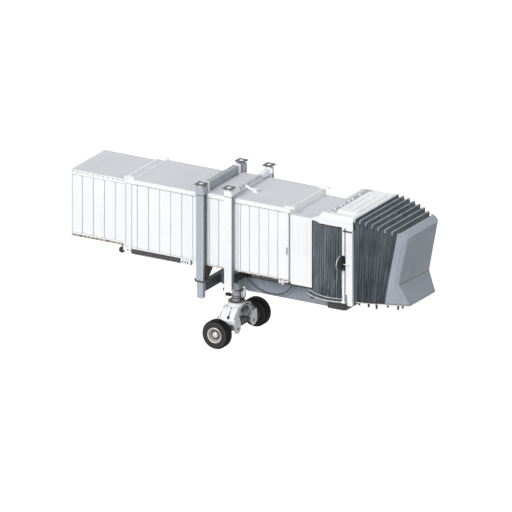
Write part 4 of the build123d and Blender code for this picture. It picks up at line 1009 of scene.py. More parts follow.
def front_plan(z):
    """Rows of plan points, one for each height: hem, cheek, corner, and the face to its middle."""
    x_face, x_back = face_x(z), CHEEK_BACK[0] + CHEEK_BACK[1] * (z - FOOT_Z)
    radius = (0.10 + 0.06 * np.abs(z - WAIST) / 2.2)[:, None]
    corner = np.stack([x_face, -cheek_half(x_face, z), z], -1)
    rear = np.stack([x_back, -cheek_half(x_back, z), z], -1)
    before = corner + unit(rear - corner) * radius * 1.2
    after = corner + np.array([0, 1, 0]) * radius
    middle = after * (1, 0, 1)
    half = np.concatenate([straight(rear + (0.004, 0.05, 0), rear, 2), straight(rear, before, 12),
                           corner_round(before, corner, after, 11),
                           straight(after, middle, 14)[:, 1:], middle[:, None]], 1)
    return np.concatenate([half, (half * (1, -1, 1))[:, ::-1][:, 1:]], 1)


near_waist = WAIST + np.linspace(-0.06, 0.06, 9)
levels = np.unique(np.concatenate([np.linspace(FOOT_Z, LIP, 44), near_waist]))
front = front_plan(levels)
along, up_front = np.linspace(0, 1, front.shape[1])[None, :], levels[:, None] / 3
face_share = np.clip(1 - np.abs(along - 0.5) / 0.28, 0, 1) ** 0.5
front[..., 0] += (0.005 * waves(along * 3, up_front, 6, 0.3, 1.2) - 0.008) * face_share
tent = np.interp(levels, [FOOT_Z, WAIST, LIP], [0, 1, 0])[:, None]
front[..., 2] -= WAIST_TILT * tent * front[..., 1] / 1.2
cheek_top = np.minimum(slope_z(front[-1, :, 0]), CHEEK_HIGHEST) - TURNED_IN
front[..., 2] = FOOT_Z + (front[..., 2] - FOOT_Z) * (cheek_top - FOOT_Z) / (LIP - FOOT_Z)
lip_row = np.stack([-0.02 * face_share, 0 * face_share, 0 * face_share + TURNED_IN], -1)
front = np.concatenate([front, front[-1:] + lip_row])
across_front = lengths_along(front[20])
front_uv = uv_grid(across_front[None, :], np.append(levels, LIP + TURNED_IN)[:, None])
canopy_front = put("canopy_front_cloth", (front.reshape(-1, 3), grid_faces(*front.shape[:2])),
                   front_cloth, "cab", front_uv, smooth=True)
thicken(canopy_front, FRONT_THICK)
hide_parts("canopy_front")
front_wide = float(across_front[-1])

# %% [markdown]
# Two things make the front look sewn. The waist is a crease with a darker brownish band along it, and
# a seam with long stitches runs down each cheek beside the round corner. The band is a tint where the
# height read from the UV map is the waist's. The stitches are short rods laid on a column of the
# sheet's own grid.

# %% Crease and stitches of the front
SEAM_COLUMN, STITCH_FROM, STITCH_STEP, STITCH_LONG = 13, 0.24, 0.105, 0.062
CREASE_HALF, CREASE_WIDE, CREASE_TINT = 0.014, 1.22, (112, 98, 86)
crease_at = where(front_tree, "UV")
in_crease = 1.0
for letter, middle, reach in (("Y", WAIST, CREASE_HALF), ("X", front_wide / 2, CREASE_WIDE)):
    off = sums(front_tree, "SUBTRACT", crease_at[letter], middle)
    within = sums(front_tree, "LESS_THAN", sums(front_tree, "ABSOLUTE", off), reach)
    in_crease = sums(front_tree, "MULTIPLY", in_crease, within)
colour_with(front_tree, front_shader, mix(front_tree, in_crease, front_plain, CREASE_TINT))

seam, at = spread_along(front[:-1, SEAM_COLUMN] + (0.001, -0.003, 0), 0.01)
stitches = []
for start in np.arange(STITCH_FROM, at[-1] - STITCH_LONG, STITCH_STEP):
    both_ends = (start, start + STITCH_LONG)
    stitches.append(pipe(np.stack([np.interp(both_ends, at, row) for row in seam.T], -1), 0.007, 6))
details("cab", ("cheek_stitches", mirrored(join(*stitches)), pleat_cloth))
print("seam", round(float(at[-1]), 2), "m long")

# %% [markdown]
# The top of the front is a second sheet, sewn over the first. It slopes from the last hoop down to
# the lip, with two soft welts across it, and its edge turns down over the cheeks and the face. It is
# a grid across and along, whose corners are drawn back to a curve, with a turned-down hem.

# %% Canopy front top
TOP_BACK, TOP_COLUMNS, TOP_ROWS, HEM, TOP_THICK, TOP_LEVEL = 15.868, 61, 26, 0.045, 0.008, 2.6
WELTS, WELT_TALL, WELT_HALF, TOP_MEAN_WIDTH = (15.975, 16.100), 0.026, 0.020, 2.5

share, deep = np.linspace(-1, 1, TOP_COLUMNS)[None, :], np.linspace(0, 1, TOP_ROWS)[:, None]
drawn_back = 0.15 * np.clip((np.abs(share) - 0.86) / 0.14, 0, 1) ** 2.2
top_x = TOP_BACK + (face_x(LIP) + 0.004 - drawn_back - TOP_BACK) * deep
top_y = share * (cheek_half(top_x, TOP_LEVEL) + 0.004)
welts = sum(WELT_TALL * np.exp(-((top_x - w) / WELT_HALF) ** 2) for w in WELTS)
top_z = slope_z(top_x) + welts - 0.020 * np.clip((top_x - 16.17) / 0.05, 0, 1) ** 2
top = np.stack([top_x, top_y, top_z - 0.010 * np.abs(share) ** 14], -1)
fall, part_way = np.array([0.002, 0, -HEM]), (1, 1, 0.45)
top = np.concatenate([top, top[-1:] + fall * part_way, top[-1:] + fall])
near_fall, far_fall = np.array([0, -0.004, -HEM]), np.array([0, 0.004, -HEM])
top = np.concatenate([top[:, :1] + near_fall, top[:, :1] + near_fall * part_way, top,
                      top[:, -1:] + far_fall * part_way, top[:, -1:] + far_fall], 1)
front_top = put("canopy_front_top", (top.reshape(-1, 3), grid_faces(*top.shape[:2])[:, ::-1]),
                front_cloth, "cab", top.reshape(-1, 3)[:, [1, 0]], smooth=True)
thicken(front_top, TOP_THICK)

# %% [markdown]
# Where the cab turns under the end of the tunnel, a curtain of pleated cloth closes the gap on each
# side. It hangs on a rail that is an arc round the cab's pivot. When the cab turns, one side of the
# curtain opens and the other bunches up. Here each curtain is a fixed sheet, put on no body.

# %% Side curtains
CURTAIN_RADIUS, CURTAIN_PLEATS, CURTAIN_DEEP = 1.735, 17, 0.066
CURTAIN_FROM, CURTAIN_TO, CURTAIN_LOW, CURTAIN_HIGH = 62.0, 121.5, -0.59, 2.59
CURTAIN_COLUMNS, CURTAIN_ROWS = 461, 42


def on_arc(radius, angle, side):
    """Places on an arc round the cab's pivot, at angles in degrees from the +X axis."""
    return DRUM_X + radius * np.cos(np.radians(angle)), side * radius * np.sin(np.radians(angle))


def curtain_points(side):
    """A sheet on an arc: radius + 0.016 - depth, with uneven pleats that wander as they hang down."""
    share, up = np.linspace(0, 1, CURTAIN_COLUMNS)[None, :], np.linspace(0, 1, CURTAIN_ROWS)[:, None]
    hang = (1 - up) ** 0.7
    slow, quick = waves(share * 4, up * 0.5, 5, 0.3, 0.9), waves(share * 12, up, 4, 0.4, 1.3)
    shift = (0.55 * slow + 0.20 * quick - 1.6 * np.clip(1 - share / 0.45, 0, 1) ** 1.3) * hang
    uneven = np.clip(0.62 + 0.38 * waves(share * 16, up * 0.4, 6, 0.4, 1.2), 0.10, 1.0)
    pleat = CURTAIN_PLEATS * share + shift
    depth = CURTAIN_DEEP * (0.86 * folds(pleat) * uneven + 0.14 * folds(2.4 * pleat + 1.5 * shift))
    angle = CURTAIN_FROM + (CURTAIN_TO - CURTAIN_FROM) * share
    x, y = on_arc(CURTAIN_RADIUS + 0.016 - depth, angle, side)
    z = CURTAIN_LOW + (CURTAIN_HIGH - CURTAIN_LOW) * up
    z = z + 0.006 * waves(share * 6, up, 4, 0.4, 1.0) * (1 - up)
    return np.stack([x, y, np.maximum(z, CURTAIN_LOW)], -1)


def side_curtain(side, name):
    """One curtain: a pleated sheet given its thickness, with its transform baked into its mesh."""
    points = curtain_points(side)
    faces = grid_faces(*points.shape[:2])
    uv = uv_grid(lengths_along(points[20])[None, :], points[:, :1, 2])
    curtain = put(name, (points.reshape(-1, 3), faces if side > 0 else faces[:, ::-1]),
                  curtain_cloth, None, uv, smooth=True)
    thicken(curtain, CLOTH_THICK)
    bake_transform(curtain)
    return curtain


near_curtain = side_curtain(-1, "near_side_curtain")
side_curtain(1, "far_side_curtain")
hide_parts("side_curtains")

# %% [markdown]
# A rail of pale rubber-faced board runs round the foot of the canopy, with a round bead at its outer
# edge and round corners in plan. Under it stand short buffers. The rail is a small section, given
# as distances inwards and heights, carried along its plan line; the buffers are turned.

# %% Foot rail and buffers
RAIL_LOW, RAIL_STEP, BUFFER_IN = -0.557, 0.03, 0.08
RAIL_PLAN = [(13.970, -1.810, 0), (15.208, -1.434, 0), (16.163, -1.092, 0), (16.163, 1.092, 0),
             (15.208, 1.434, 0), (13.970, 1.810, 0)]
RAIL_SECTION = [(0.024, FOOT_Z), (0.008, -0.516), (0.001, -0.526), (0.001, -0.541), (0.008, -0.553),
                (0.024, RAIL_LOW), (0.160, RAIL_LOW), (0.160, FOOT_Z)]
BUFFERS = [(0, 0.09, 0.09), (0, 0.40, 0.13), (0, 0.66, 0.17),
           (1, 0.04, 0.09), (1, 0.47, 0.15), (1, 0.66, 0.09)]


def moulding(path, section):
    """A section of (inwards, height) along a plan line: point + inwards * (ahead turned left)."""
    ahead = unit(np.gradient(path[:, :2], axis=0))
    left = np.stack([-ahead[:, 1], ahead[:, 0]], -1)[:, None]
    inwards, height = np.array(section).T
    plan = path[:, None, :2] + inwards[:, None] * left
    heights = np.broadcast_to(height[:, None], (*plan.shape[:2], 1))
    return tube(np.concatenate([plan, heights], -1))


def buffer_under(corner, share, long):
    """A turned buffer under the rail, at a share of the way from a corner of its plan to the next."""
    (x0, y0, _), (x1, y1, _) = RAIL_PLAN[corner:corner + 2]
    low = -1.25 * long
    profile = [(0.020, low), (0.040, low + 0.005), (0.046, low + 0.024), (0.050, -0.022),
               (0.062, -0.020), (0.062, 0.0), (0.020, 0.001)]
    at = (x0 + (x1 - x0) * share, y0 + (y1 - y0) * share + BUFFER_IN, RAIL_LOW)
    return turned(profile, at, (0, 0, 1), 14)


rail_line, _ = spread_along(bend(*RAIL_PLAN, radius=0.17, steps=9), RAIL_STEP)
foot_rail = put("canopy_foot_rail", moulding(rail_line, RAIL_SECTION), trim_paint, "cab")
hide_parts("canopy_trim")
buffers = join(*[buffer_under(*row) for row in BUFFERS])
details("cab", ("canopy_buffers", mirrored(buffers), black_plastic))
print("rail", round(len(rail_line) * RAIL_STEP, 2), "m long, buffers", 2 * len(BUFFERS))

# %% [markdown]
# The first hoop is not in a sleeve: it is a white bar that closes the joint between the hood and the
# cloth. Behind it, the hood has a grey strip with a row of white studs across its top.

# %% Hood edge, grey strip and studs
HOOD_TOP, PANEL_TOP, STUD_X = 3.150, 3.220, 12.72
STUD_PLACES = [-1.36, -0.86, -0.60, -0.20, 0.10, 0.72]
STUD = [(0.050, 0.0), (0.050, 0.018), (0.040, 0.034), (0.015, 0.042)]
edge_path, _ = spread_along(hoop_path(0.0) + np.array([0.030, 0, 0.010]), 0.03)
hood_edge = put("hood_edge_bar", pipe(edge_path, 0.020), frame_white, "cab", smooth=True)
rear_sheet = slab((12.312, -1.66, HOOD_TOP - 0.004), (12.61, 1.66, HOOD_TOP + 0.006), 0.02)
strip = slab((12.62, -1.50, PANEL_TOP - 0.004), (12.82, 1.50, PANEL_TOP + 0.010), 0.02, 0.004)
stud_places = [(STUD_X, y, PANEL_TOP + 0.008) for y in STUD_PLACES]
studs = copies(turned(STUD, sides=12), stud_places)
details("cab", ("hood_rear_sheet", rear_sheet, roof_paint), ("hood_grey_strip", strip, grey_paint),
        ("hood_studs", studs, frame_white))
print("studs:", len(STUD_PLACES))

# %% [markdown]
# A column of a lifting portal is a box tube. Its side that faces the cab is in shade, and plates of
# painted shade cover it, a light and a dark one on the blue column. The corner beside them catches the
# light as one bright line, and that is a painted highlight: a thin white rod. Under the head is a dark
# band. The plates are pressed, and the bands are plates a little wider than the tube.

# %% Portal plates of painted shade, painted highlights and bands
BLUE_AT, BLUE_HALF = np.array([6.460, -1.680]), np.array([0.1665, 0.145])
WHITE_AT, WHITE_HALF = np.array([7.796, -1.672]), np.array([0.173, 0.104])
SHADE_PLATE_PROUD = 0.007


def cover(at, half, share_from, share_to, z0, z1):
    """A plate of painted shade on the +X face of the near column, over a share of its width from the
    outer corner.
    """
    x, y = at + half * (1, -1)
    low = (x - 0.004, y + 2 * half[1] * share_from, z0)
    return slab(low, (x + SHADE_PLATE_PROUD, y + 2 * half[1] * share_to, z1), 0.008, 0.002, 0)


def band(at, half, z0, z1, proud):
    """A plate round the near column between two heights, wider than the tube by proud all round."""
    return slab((*(at - half - proud), z0), (*(at + half + proud), z1))


# The white rods on the blue column's outer corner are a painted highlight.
corner_x, corner_y = BLUE_AT + BLUE_HALF * (1, -1) + (-0.002, 0.002)
corner_highlight_rods = pipe([(corner_x, corner_y, -0.87), (corner_x, corner_y, 2.90)], 0.009, 8)
bands = join(band(BLUE_AT, BLUE_HALF, 2.880, 2.904, 0.020),
             band(BLUE_AT, BLUE_HALF, -0.945, -0.888, 0.040),
             band(WHITE_AT, WHITE_HALF, 3.018, 3.038, 0.018))
for name, shape, paint in [
        ("blue_side_shade_light", cover(BLUE_AT, BLUE_HALF, 0.06, 0.48, -0.87, 2.87), shade_plate_paint),
        ("blue_side_shade_dark", cover(BLUE_AT, BLUE_HALF, 0.52, 0.99, -0.87, 2.87), chassis_paint),
        ("white_side_shade", cover(WHITE_AT, WHITE_HALF, 0.08, 0.97, -1.06, 3.01), shade_plate_paint),
        ("blue_corner_highlights", corner_highlight_rods, frame_white), ("portal_bands", bands, dark_paint)]:
    details("tunnel_c", (name, mirrored(shape), paint))
print("portal covers ready")

# %% [markdown]
# Each column ends in a neck and a square cap. The cap is dark steel with a pale plate let into its
# middle, and four bolts. The neck is bright. These are pressed plates and turned pieces that sit on
# the CAD's own caps.

# %% Portal heads
CAP_TOP, CAP_HALF, BOLT_IN = 0.131, 0.215, 0.045
HEADS = [(*BLUE_AT, 3.240), (*WHITE_AT, 3.290)]
NECK = [(0.125, 0.0), (0.125, 0.016), (0.112, 0.020), (0.112, 0.076), (0.128, 0.080), (0.128, 0.0945)]
DOME = [(0.050, -0.03), (0.050, -0.012), (0.036, -0.002), (0.012, 0.0)]
HEAD_BOLT = [(0.018, 0.0), (0.018, 0.003), (0.014, 0.004)]
plate = slab((-0.085, -0.085, CAP_TOP - 0.030), (0.085, 0.085, CAP_TOP - 0.006), 0.03, 0.004)
head_plate = join(plate, turned(DOME, (0, 0, CAP_TOP), sides=14))
off = CAP_HALF - BOLT_IN
head_bolts = copies(turned(HEAD_BOLT, (0, 0, CAP_TOP - 0.004), sides=6),
                    [(a * off, b * off, 0) for a in (-1, 1) for b in (-1, 1)])
for name, shape, paint in (("head_plates", head_plate, frame_white),
                           ("head_necks", turned(NECK, sides=20), frame_white),
                           ("head_bolts", head_bolts, grey_paint)):
    details("tunnel_c", (name, mirrored(copies(shape, HEADS)), paint))
print("heads:", 2 * len(HEADS))

# %% [markdown]
# Along the foot of each fascia runs a thin dark joint with clips in it, and a dark gap with a
# rubber seal stands in the end frame of the outer tunnel. They are thin plates, repeated at an even
# pitch, and give the long white walls their scale.

# %% Joints, clips and seal
FASCIA = [("tunnel_a", 0.04, 5.92, 1.390, 2.716, 0.022),
          ("tunnel_b", 3.12, 9.85, 1.450, 2.658, 0.012),
          ("tunnel_c", 6.72, 10.33, 1.510, 2.733, 0.012)]
CLIP_PITCH, CLIP_LONG = 0.24, 0.075

for body, x0, x1, half, z, tall in FASCIA:
    strip = slab((x0, -half - 0.003, z - 0.004), (x1, -half + 0.01, z + 0.004), 0.002, 0.001, 1)
    clip = slab((0, -half - 0.009, z - tall), (CLIP_LONG, -half + 0.01, z + 0.006), 0.004, 0.002, 1)
    clips = copies(clip, [(x, 0, 0) for x in np.arange(x0 + 0.05, x1 - CLIP_LONG, CLIP_PITCH)])
    details(body, (body + "_fascia_joint", mirrored(join(strip, clips)), joint_paint))
seal = slab((10.588, -1.536, -0.26), (10.616, -1.526, 2.735), 0.004, 0.002, 1)
pull = slabs(*[((10.485, -1.552, z), (10.515, -1.530, z + 0.045), 0.006, 0.003, 1)
               for z in np.linspace(0.88, 1.16, 6)])
details("tunnel_c", ("end_frame_seal", mirrored(seal), black_plastic),
        ("end_frame_pull", pull, dark_paint))
print("fascia joints:", len(FASCIA))

# %% [markdown]
# A rim is pressed from one disc: a rolled lip that holds the tyre, a deep well, and a domed middle
# over the hub, held by ten nuts. It is turned from its half section. The well is dark with painted
# shade. On the inner side a flat cover keeps dirt off the bearing.

# %% Rims, nuts and wheel covers
DISH = [(0.250, -0.060), (0.296, -0.060), (0.296, 0.030), (0.328, 0.066), (0.334, 0.074),
        (0.322, 0.080), (0.300, 0.074), (0.284, 0.058), (0.276, 0.010), (0.262, -0.020),
        (0.205, -0.034), (0.160, -0.028), (0.135, 0.004), (0.118, 0.030), (0.085, 0.052),
        (0.045, 0.063), (0.012, 0.066)]
COVER = [(0.120, 0.0), (0.297, 0.0), (0.297, 0.012), (0.285, 0.020), (0.240, 0.022), (0.120, 0.026)]
NUT = [(0.017, -0.004), (0.017, 0.018), (0.012, 0.023)]
NUTS, NUT_CIRCLE = 10, 0.190
around = np.arange(NUTS) * 2 * np.pi / NUTS
nut_ring = np.c_[AXLE_X + NUT_CIRCLE * np.cos(around), np.full(NUTS, -1.766),
                 AXLE_Z + NUT_CIRCLE * np.sin(around)]
rim_dish = join(turned(DISH, (AXLE_X, -1.800, AXLE_Z), (0, -1, 0), 48),
                copies(turned(NUT, axis=(0, -1, 0), sides=6), nut_ring))
wheel_cover = turned(COVER, (AXLE_X, -1.440, AXLE_Z), (0, 1, 0), 40)
for part, shape, paint in (("_rim_dish", rim_dish, rim_steel),
                           ("_wheel_cover", wheel_cover, dark_paint)):
    details("wheel_near", ("near" + part, shape, paint))
    details("wheel_far", ("far" + part, image(shape), paint))
print("nuts to a rim:", NUTS)

# %% [markdown]
# The bogie is two steel castings hung from a ring under the post. Each ends in a lug plate with the
# black eye of the axle pin, and carries a seam, bolts and hoses. Plates are cut from sheet, so each is
# its outline carried a little way along X. Hoses are bent paths, and they stay on the part that steers.

# %% Bogie plates, pins and hoses
FRONT, BACK, PIN_Y = AXLE_X + 0.430, AXLE_X - 0.430, -0.660
LUG = [(-0.930, -2.980), (-0.905, -2.720), (-0.500, -2.720), (-0.430, -3.020), (-0.430, -3.240),
       (-0.540, -3.375), (-0.760, -3.375), (-0.930, -3.260)]
CHEEK = [(-0.300, -2.318), (-0.470, -2.318), (-0.890, -2.700), (-0.470, -2.700)]
EYE = [(0.066, 0.0), (0.066, 0.004), (0.060, 0.008)]
BOLT = [(0.018, 0.0), (0.018, 0.014), (0.013, 0.018)]
BOLT_SPOTS = [(0, y, z) for y in (-0.850, -0.520) for z in (-2.790, -3.200)]
OUTSIDES = ((1, FRONT + 0.017), (-1, BACK - 0.017))
lugs = join(cut_plate(LUG, 0, FRONT - 0.004, FRONT + 0.018),
            cut_plate(LUG, 0, BACK - 0.018, BACK + 0.004),
            cut_plate(CHEEK, 0, FRONT - 0.094, FRONT - 0.076),
            cut_plate(CHEEK, 0, BACK + 0.076, BACK + 0.094))
eyes = join(*[turned(EYE, (x, PIN_Y, AXLE_Z), (way, 0, 0), 20) for way, x in OUTSIDES])
bolts = join(*[copies(turned(BOLT, (x, 0, 0), (way, 0, 0), 6), BOLT_SPOTS) for way, x in OUTSIDES])
seam = join(slabs(((7.238, -0.560, -2.470), (7.262, -0.430, -2.357), 0.005),
                  ((7.205, -0.825, -2.760), (7.295, -0.700, -2.640), 0.006)),
            pipe([(7.250, -0.575, -2.448), (7.250, -0.742, -2.655)], 0.020, 8))
hoses = pipes(
    (0.022, 0.12, (7.56, 0.12, -2.3), (7.64, 0.3, -2.33), (7.65, 0.56, -2.52), (7.6, 0.76, -2.7)),
    (0.02, 0.12, (7.56, 0.02, -2.3), (7.66, 0.12, -2.4), (7.66, 0.33, -2.72), (7.5, 0.4, -2.96)),
    (0.018, 0.12, (7.56, -0.1, -2.3), (7.66, -0.15, -2.42), (7.64, -0.3, -2.76), (7.46, -0.38, -2.96)),
    (0.018, 0.1, (7.3, 0.48, -2.3), (7.48, 0.56, -2.33), (7.56, 0.7, -2.56), (7.56, 0.8, -2.76)))
steel_lines = pipes(
    (0.013, 0.1, (7.64, 0.15, -2.52), (7.66, 0.42, -2.47), (7.6, 0.64, -2.6), (7.56, 0.88, -2.86)),
    (0.013, 0.08, (7.64, 0.15, -2.56), (7.665, 0.4, -2.62), (7.6, 0.58, -2.78)),
    (0.013, 0.05, (7.64, -0.18, -2.54), (7.66, -0.36, -2.56), (7.6, -0.42, -2.7)))
valve_block = slabs(((7.540, -0.230, -2.600), (7.640, 0.230, -2.430), 0.015, 0.006),
                    ((7.400, -0.240, -3.040), (7.560, 0.240, -2.900), 0.020, 0.006))
details("bogie", ("bogie_lug_plates", mirrored(lugs), lug_paint),
        ("bogie_pin_eyes", mirrored(eyes), black_plastic), ("bogie_seams", mirrored(seam), dark_paint),
        ("bogie_bolts", mirrored(bolts), grey_paint), ("bogie_hoses", hoses, black_plastic),
        ("bogie_valve_block", valve_block, dark_paint), ("bogie_steel_lines", steel_lines, grey_paint))
print("bolts on the lugs:", 4 * len(BOLT_SPOTS))

# %% [markdown]
# The post above turns the bogie. It carries clamp rings, a bolted slewing ring, the black motor of
# the lift with its gearbox, and a bundle of hoses that drop from the saddle. These ride on the part
# that goes up and down.

# %% Post rings, gearbox and fittings
CLAMP = [(0.198, 0.0), (0.214, 0.008), (0.214, 0.036), (0.198, 0.044)]
SLEW = [(0.346, 0.0), (0.360, 0.006), (0.360, 0.026), (0.346, 0.032)]
MOTOR = [(0.050, 0.0), (0.072, 0.010), (0.072, 0.240), (0.062, 0.260), (0.040, 0.264)]
RING_BOLTS, BOLT_CIRCLE = 18, 0.290
clamps = join(*[turned(CLAMP, (AXLE_X, 0, z), sides=32) for z in (-2.060, -1.960, -1.720)],
              turned(SLEW, (AXLE_X, 0, -2.184), sides=40))
around = np.arange(RING_BOLTS) * 2 * np.pi / RING_BOLTS
bolt_ring = np.c_[AXLE_X + BOLT_CIRCLE * np.cos(around), BOLT_CIRCLE * np.sin(around),
                  np.full(RING_BOLTS, -2.153)]
gearbox = join(turned(MOTOR, (6.740, -0.110, -1.945), (1, 0, 0), 20),
               turned([(0.080, 0.0), (0.080, 0.020)], (6.900, -0.110, -1.945), (1, 0, 0), 20))
fittings = slabs(((6.930, -0.305, -1.470), (7.070, -0.236, -1.300), 0.02, 0.006),
                 ((6.900, -0.300, -1.640), (7.030, -0.190, -1.530), 0.02, 0.006),
                 ((7.300, -0.285, -1.350), (7.430, -0.236, -1.180), 0.02, 0.006),
                 ((7.380, -0.120, -1.760), (7.450, 0.120, -1.620), 0.01, 0.004))
drop_hoses = pipes(
    *[(0.019, 0.1, (7.38 + 0.02 * k, 0.08 * k - 0.1, -1.64), (7.46 + 0.02 * k, 0.09 * k - 0.08, -1.78),
       (7.44 + 0.02 * k, 0.1 * k - 0.06, -2.0), (7.41, 0.09 * k - 0.08, -2.15)) for k in range(4)],
    (0.016, 0.1, (7.0, -0.27, -1.38), (6.9, -0.33, -1.5), (6.96, -0.3, -1.72), (7.03, -0.2, -1.9)))
details("carriage", ("post_clamps", clamps, dark_paint),
        ("slewing_bolts", copies(turned(BOLT, sides=6), bolt_ring), grey_paint),
        ("lift_gearbox", gearbox, black_plastic), ("post_fittings", fittings, dark_paint),
        ("post_hoses", drop_hoses, black_plastic))
print("bolts in the slewing ring:", RING_BOLTS)

# %% [markdown]
# In front of each curtain stands a slim white post with a flared foot. It stops where the round
# mirror stands in front of it. A white ring round the mirror is a painted highlight on its rim. A grey
# web joins the post to the main column, as painted shade in the recess between them. A black hinge sits
# at the head of that column, and a white rod round the drum just above its pale ring is a painted
# highlight.

# %% Cab posts, hinge and painted highlights
POST_LENGTHS = ((-0.600, 0.780), (1.460, 2.690))
MIRROR_AT, MIRROR_RADIUS = (13.296, -1.960, 1.120), 0.302
DRUM_HIGHLIGHT_RADIUS, DRUM_HIGHLIGHT_Z, DRUM_HIGHLIGHT_FROM, DRUM_HIGHLIGHT_TO = 1.772, -0.548, 198, 318
post = slabs(*[((13.335, -1.868, z0), (13.450, -1.795, z1), 0.030, 0.004) for z0, z1 in POST_LENGTHS],
             ((13.285, -1.890, -0.655), (13.490, -1.770, -0.585), 0.030, 0.012))
# The grey web is painted shade in the recess between the post and the column.
web = slabs(*[((13.440, -1.800, z0), (13.620, -1.740, z1), 0.010, 0.004) for z0, z1 in POST_LENGTHS])
# The white ring round the mirror is a painted highlight on its rim.
turn = np.linspace(0, 2 * np.pi, 49)
circle = np.c_[0 * turn, MIRROR_RADIUS * np.cos(turn), MIRROR_RADIUS * np.sin(turn)]
# The grey middle of these strips across the hood is painted shade of its grooves.
grooves = slabs(*[((x, -1.30, 3.218), (x + 0.03, 1.30, 3.2215), 0.01, 0.001) for x in (13.06, 13.42)])
hinge = slab((13.420, -1.945, 2.545), (13.840, -1.905, 2.600), 0.008, 0.004)
# The white rod round the drum is a painted highlight.
highlight_x, highlight_y = on_arc(DRUM_HIGHLIGHT_RADIUS, np.linspace(DRUM_HIGHLIGHT_FROM, DRUM_HIGHLIGHT_TO, 49), 1)
drum_highlight = pipe(np.c_[highlight_x, highlight_y, np.full(49, DRUM_HIGHLIGHT_Z)], 0.013, 8)
details("cab", ("mirror_rim_highlight", pipe(circle + MIRROR_AT, 0.020, 8), frame_white),
        ("hood_groove_shade", grooves, bracket_paint), ("cab_slim_posts", mirrored(post), frame_white),
        ("cab_column_hinge", hinge, black_plastic), ("cab_post_shade_webs", mirrored(web), shade_plate_paint))
details("tunnel_c", ("drum_highlight", mirrored(drum_highlight), frame_white))
print("post lengths:", POST_LENGTHS)

# %% [markdown]
# The power lines of the sliding tunnel lie in a chain of hinged side plates under its near edge. Each
# plate leans, so the gaps between them read as slanting lines. The chain is made as a chain is: one
# link shape placed many times, cross bars between its two sides, and the hoses inside.

# %% Energy chain
LINK, TALL, CHAIN_FROM, CHAIN_LONG = 0.120, 0.105, 2.960, 2.640
CHAIN_NEAR, CHAIN_FAR, CHAIN_TOP, HOSE_PLACES = -1.404, -1.256, -0.241, (-1.360, -1.310)
STUD_HEAD = [(0.012, 0.0), (0.012, 0.003), (0.008, 0.005)]
tops = (CHAIN_TOP, CHAIN_TOP - TALL - 0.012)
places = [(CHAIN_FROM + LINK * k, 0, z) for k in range(int(CHAIN_LONG // LINK)) for z in tops]
leaning = [(0.030, 0.0), (LINK - 0.008, 0.0), (LINK - 0.038, -TALL), (0.0, -TALL)]
cross_bar = slab((0.040, CHAIN_NEAR + 0.010, 0.006 - TALL), (0.062, CHAIN_FAR - 0.010, 0.018 - TALL),
                 0.004, 0.002)
link = join(cut_plate(leaning, 1, CHAIN_NEAR, CHAIN_NEAR + 0.020, 0.005),
            cut_plate(leaning, 1, CHAIN_FAR - 0.020, CHAIN_FAR, 0.005), cross_bar)
stud = turned(STUD_HEAD, (0.055, CHAIN_NEAR + 0.001, -TALL / 2), (0, -1, 0), 8)
inside = join(*[pipe([(x, y, z - TALL / 2) for x in (CHAIN_FROM, CHAIN_FROM + CHAIN_LONG)], 0.022, 8)
                for y in HOSE_PLACES for z in tops])
chain = put("energy_chain", join(copies(link, places), inside), black_plastic, "tunnel_b")
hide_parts("cable_chain")
details("tunnel_b", ("energy_chain_studs", copies(stud, places), grey_paint))
print("links:", len(places))

# %% [markdown]
# A white casing takes the outer end of the chain. At its inner end a black hook holds the loop, and a
# white plate stands on the foot of the ring frame.

# %% Chain casing and hook
HOOK_DISC = [(0.070, 0.0), (0.080, 0.006), (0.080, 0.034), (0.070, 0.040)]
casing = slab((5.320, -1.428, -0.468), (5.800, -1.236, -0.218), 0.012, 0.006)
foot_plate = slab((2.700, -1.480, -0.330), (2.955, -1.400, -0.200), 0.012, 0.004)
vents = slabs(*[((x, -1.4305, -0.400), (x + 0.050, -1.426, -0.300), 0.006, 0.001, 1)
                for x in (5.400, 5.520, 5.640)],
              ((2.790, -1.4825, -0.300), (2.850, -1.478, -0.240), 0.006, 0.001, 1))
hook = join(pipes((0.030, 0.08, (2.56, -1.455, -0.215), (2.42, -1.455, -0.24), (2.40, -1.455, -0.42),
                   (2.56, -1.455, -0.44), (2.64, -1.455, -0.34))),
            turned(HOOK_DISC, (2.500, -1.425, -0.330), (0, -1, 0), 24))
details("tunnel_b", ("chain_casing", casing, frame_white), ("casing_vents", vents, dark_paint),
        ("ring_frame_foot_plates", mirrored(foot_plate), frame_white),
        ("chain_hook", hook, black_plastic))
print("casing ready")

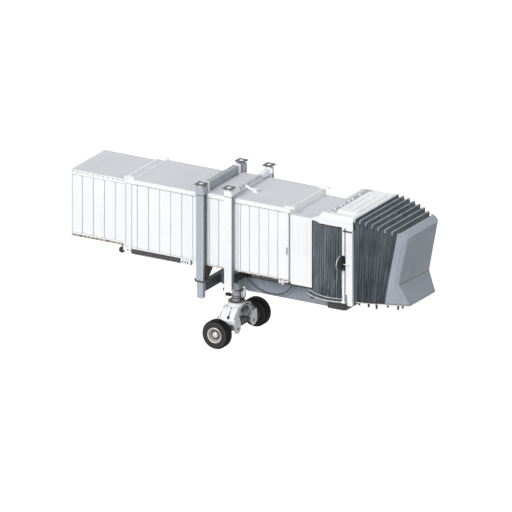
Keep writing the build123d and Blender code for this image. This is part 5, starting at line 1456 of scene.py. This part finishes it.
# %% [markdown]
# The guide collar of each blue column ends in clamp lugs that stick out past the tube. The near end
# of the blue beam carries a white link plate, the stay on the roof ends in a fork, and the long beam
# below is welded from three lengths, so two dark seams cross it.

# %% Clamp lugs, link plates and seams
left, outer = BLUE_AT - BLUE_HALF
right, inner = BLUE_AT + BLUE_HALF
collar_lugs = join(
    slabs(((left - 0.075, outer - 0.01, -0.9), (left - 0.005, outer + 0.06, -0.82), 0.01, 0.004),
          ((right + 0.005, inner - 0.08, -0.905), (right + 0.15, inner + 0.01, -0.815), 0.01, 0.004),
          ((right + 0.002, outer + 0.02, -0.78), (right + 0.055, inner, -0.7), 0.01, 0.004)),
    pipe([(left - 0.060, outer + 0.020, -0.860), (right + 0.120, outer + 0.020, -0.860)], 0.016, 8))
link_plates = slabs(((6.308, -1.375, 2.930), (6.612, -1.215, 3.316), 0.020, 0.004),
                    ((6.300, -1.330, 3.318), (6.620, -1.260, 3.334)))
fork = join(cut_plate([(8.06, -0.49), (8.43, -0.52), (8.45, -0.30), (8.06, -0.38)], 2, 3.040, 3.064),
            cut_plate([(7.98, -0.47), (8.06, -0.49), (8.06, -0.38), (7.98, -0.39)], 2, 3.050, 3.074))
seams = slabs(*[((x - 0.008, -0.4035, -1.490), (x + 0.008, -0.3985, -0.900), 0.002, 0.001, 1)
                for x in (8.740, 11.340)])
details("tunnel_c", ("collar_lugs", mirrored(collar_lugs), dark_paint),
        ("beam_link_plates", mirrored(link_plates), frame_white), ("roof_stay_fork", fork, frame_white),
        ("beam_seams", mirrored(seams), chassis_paint))
print("lugs and seams ready")

# %% [markdown]
# Two slots would let daylight through when the cab turns: one between the vestibule wall and the fixed
# edge of the curtain, and one behind the main column where the canopy starts. On the real bridge a
# dark channel and a strip of cloth close them.

# %% Closing channels
channel = slab((11.620, -1.455, -0.225), (11.790, -1.425, 2.600), 0.006)
backing = slab((13.790, -1.772, -0.505), (13.960, -1.745, 2.640), 0.006)
details("tunnel_c", ("curtain_channels", mirrored(channel), black_plastic))
details("cab", ("canopy_backing", mirrored(backing), pleat_cloth))
print("channels and backing ready")
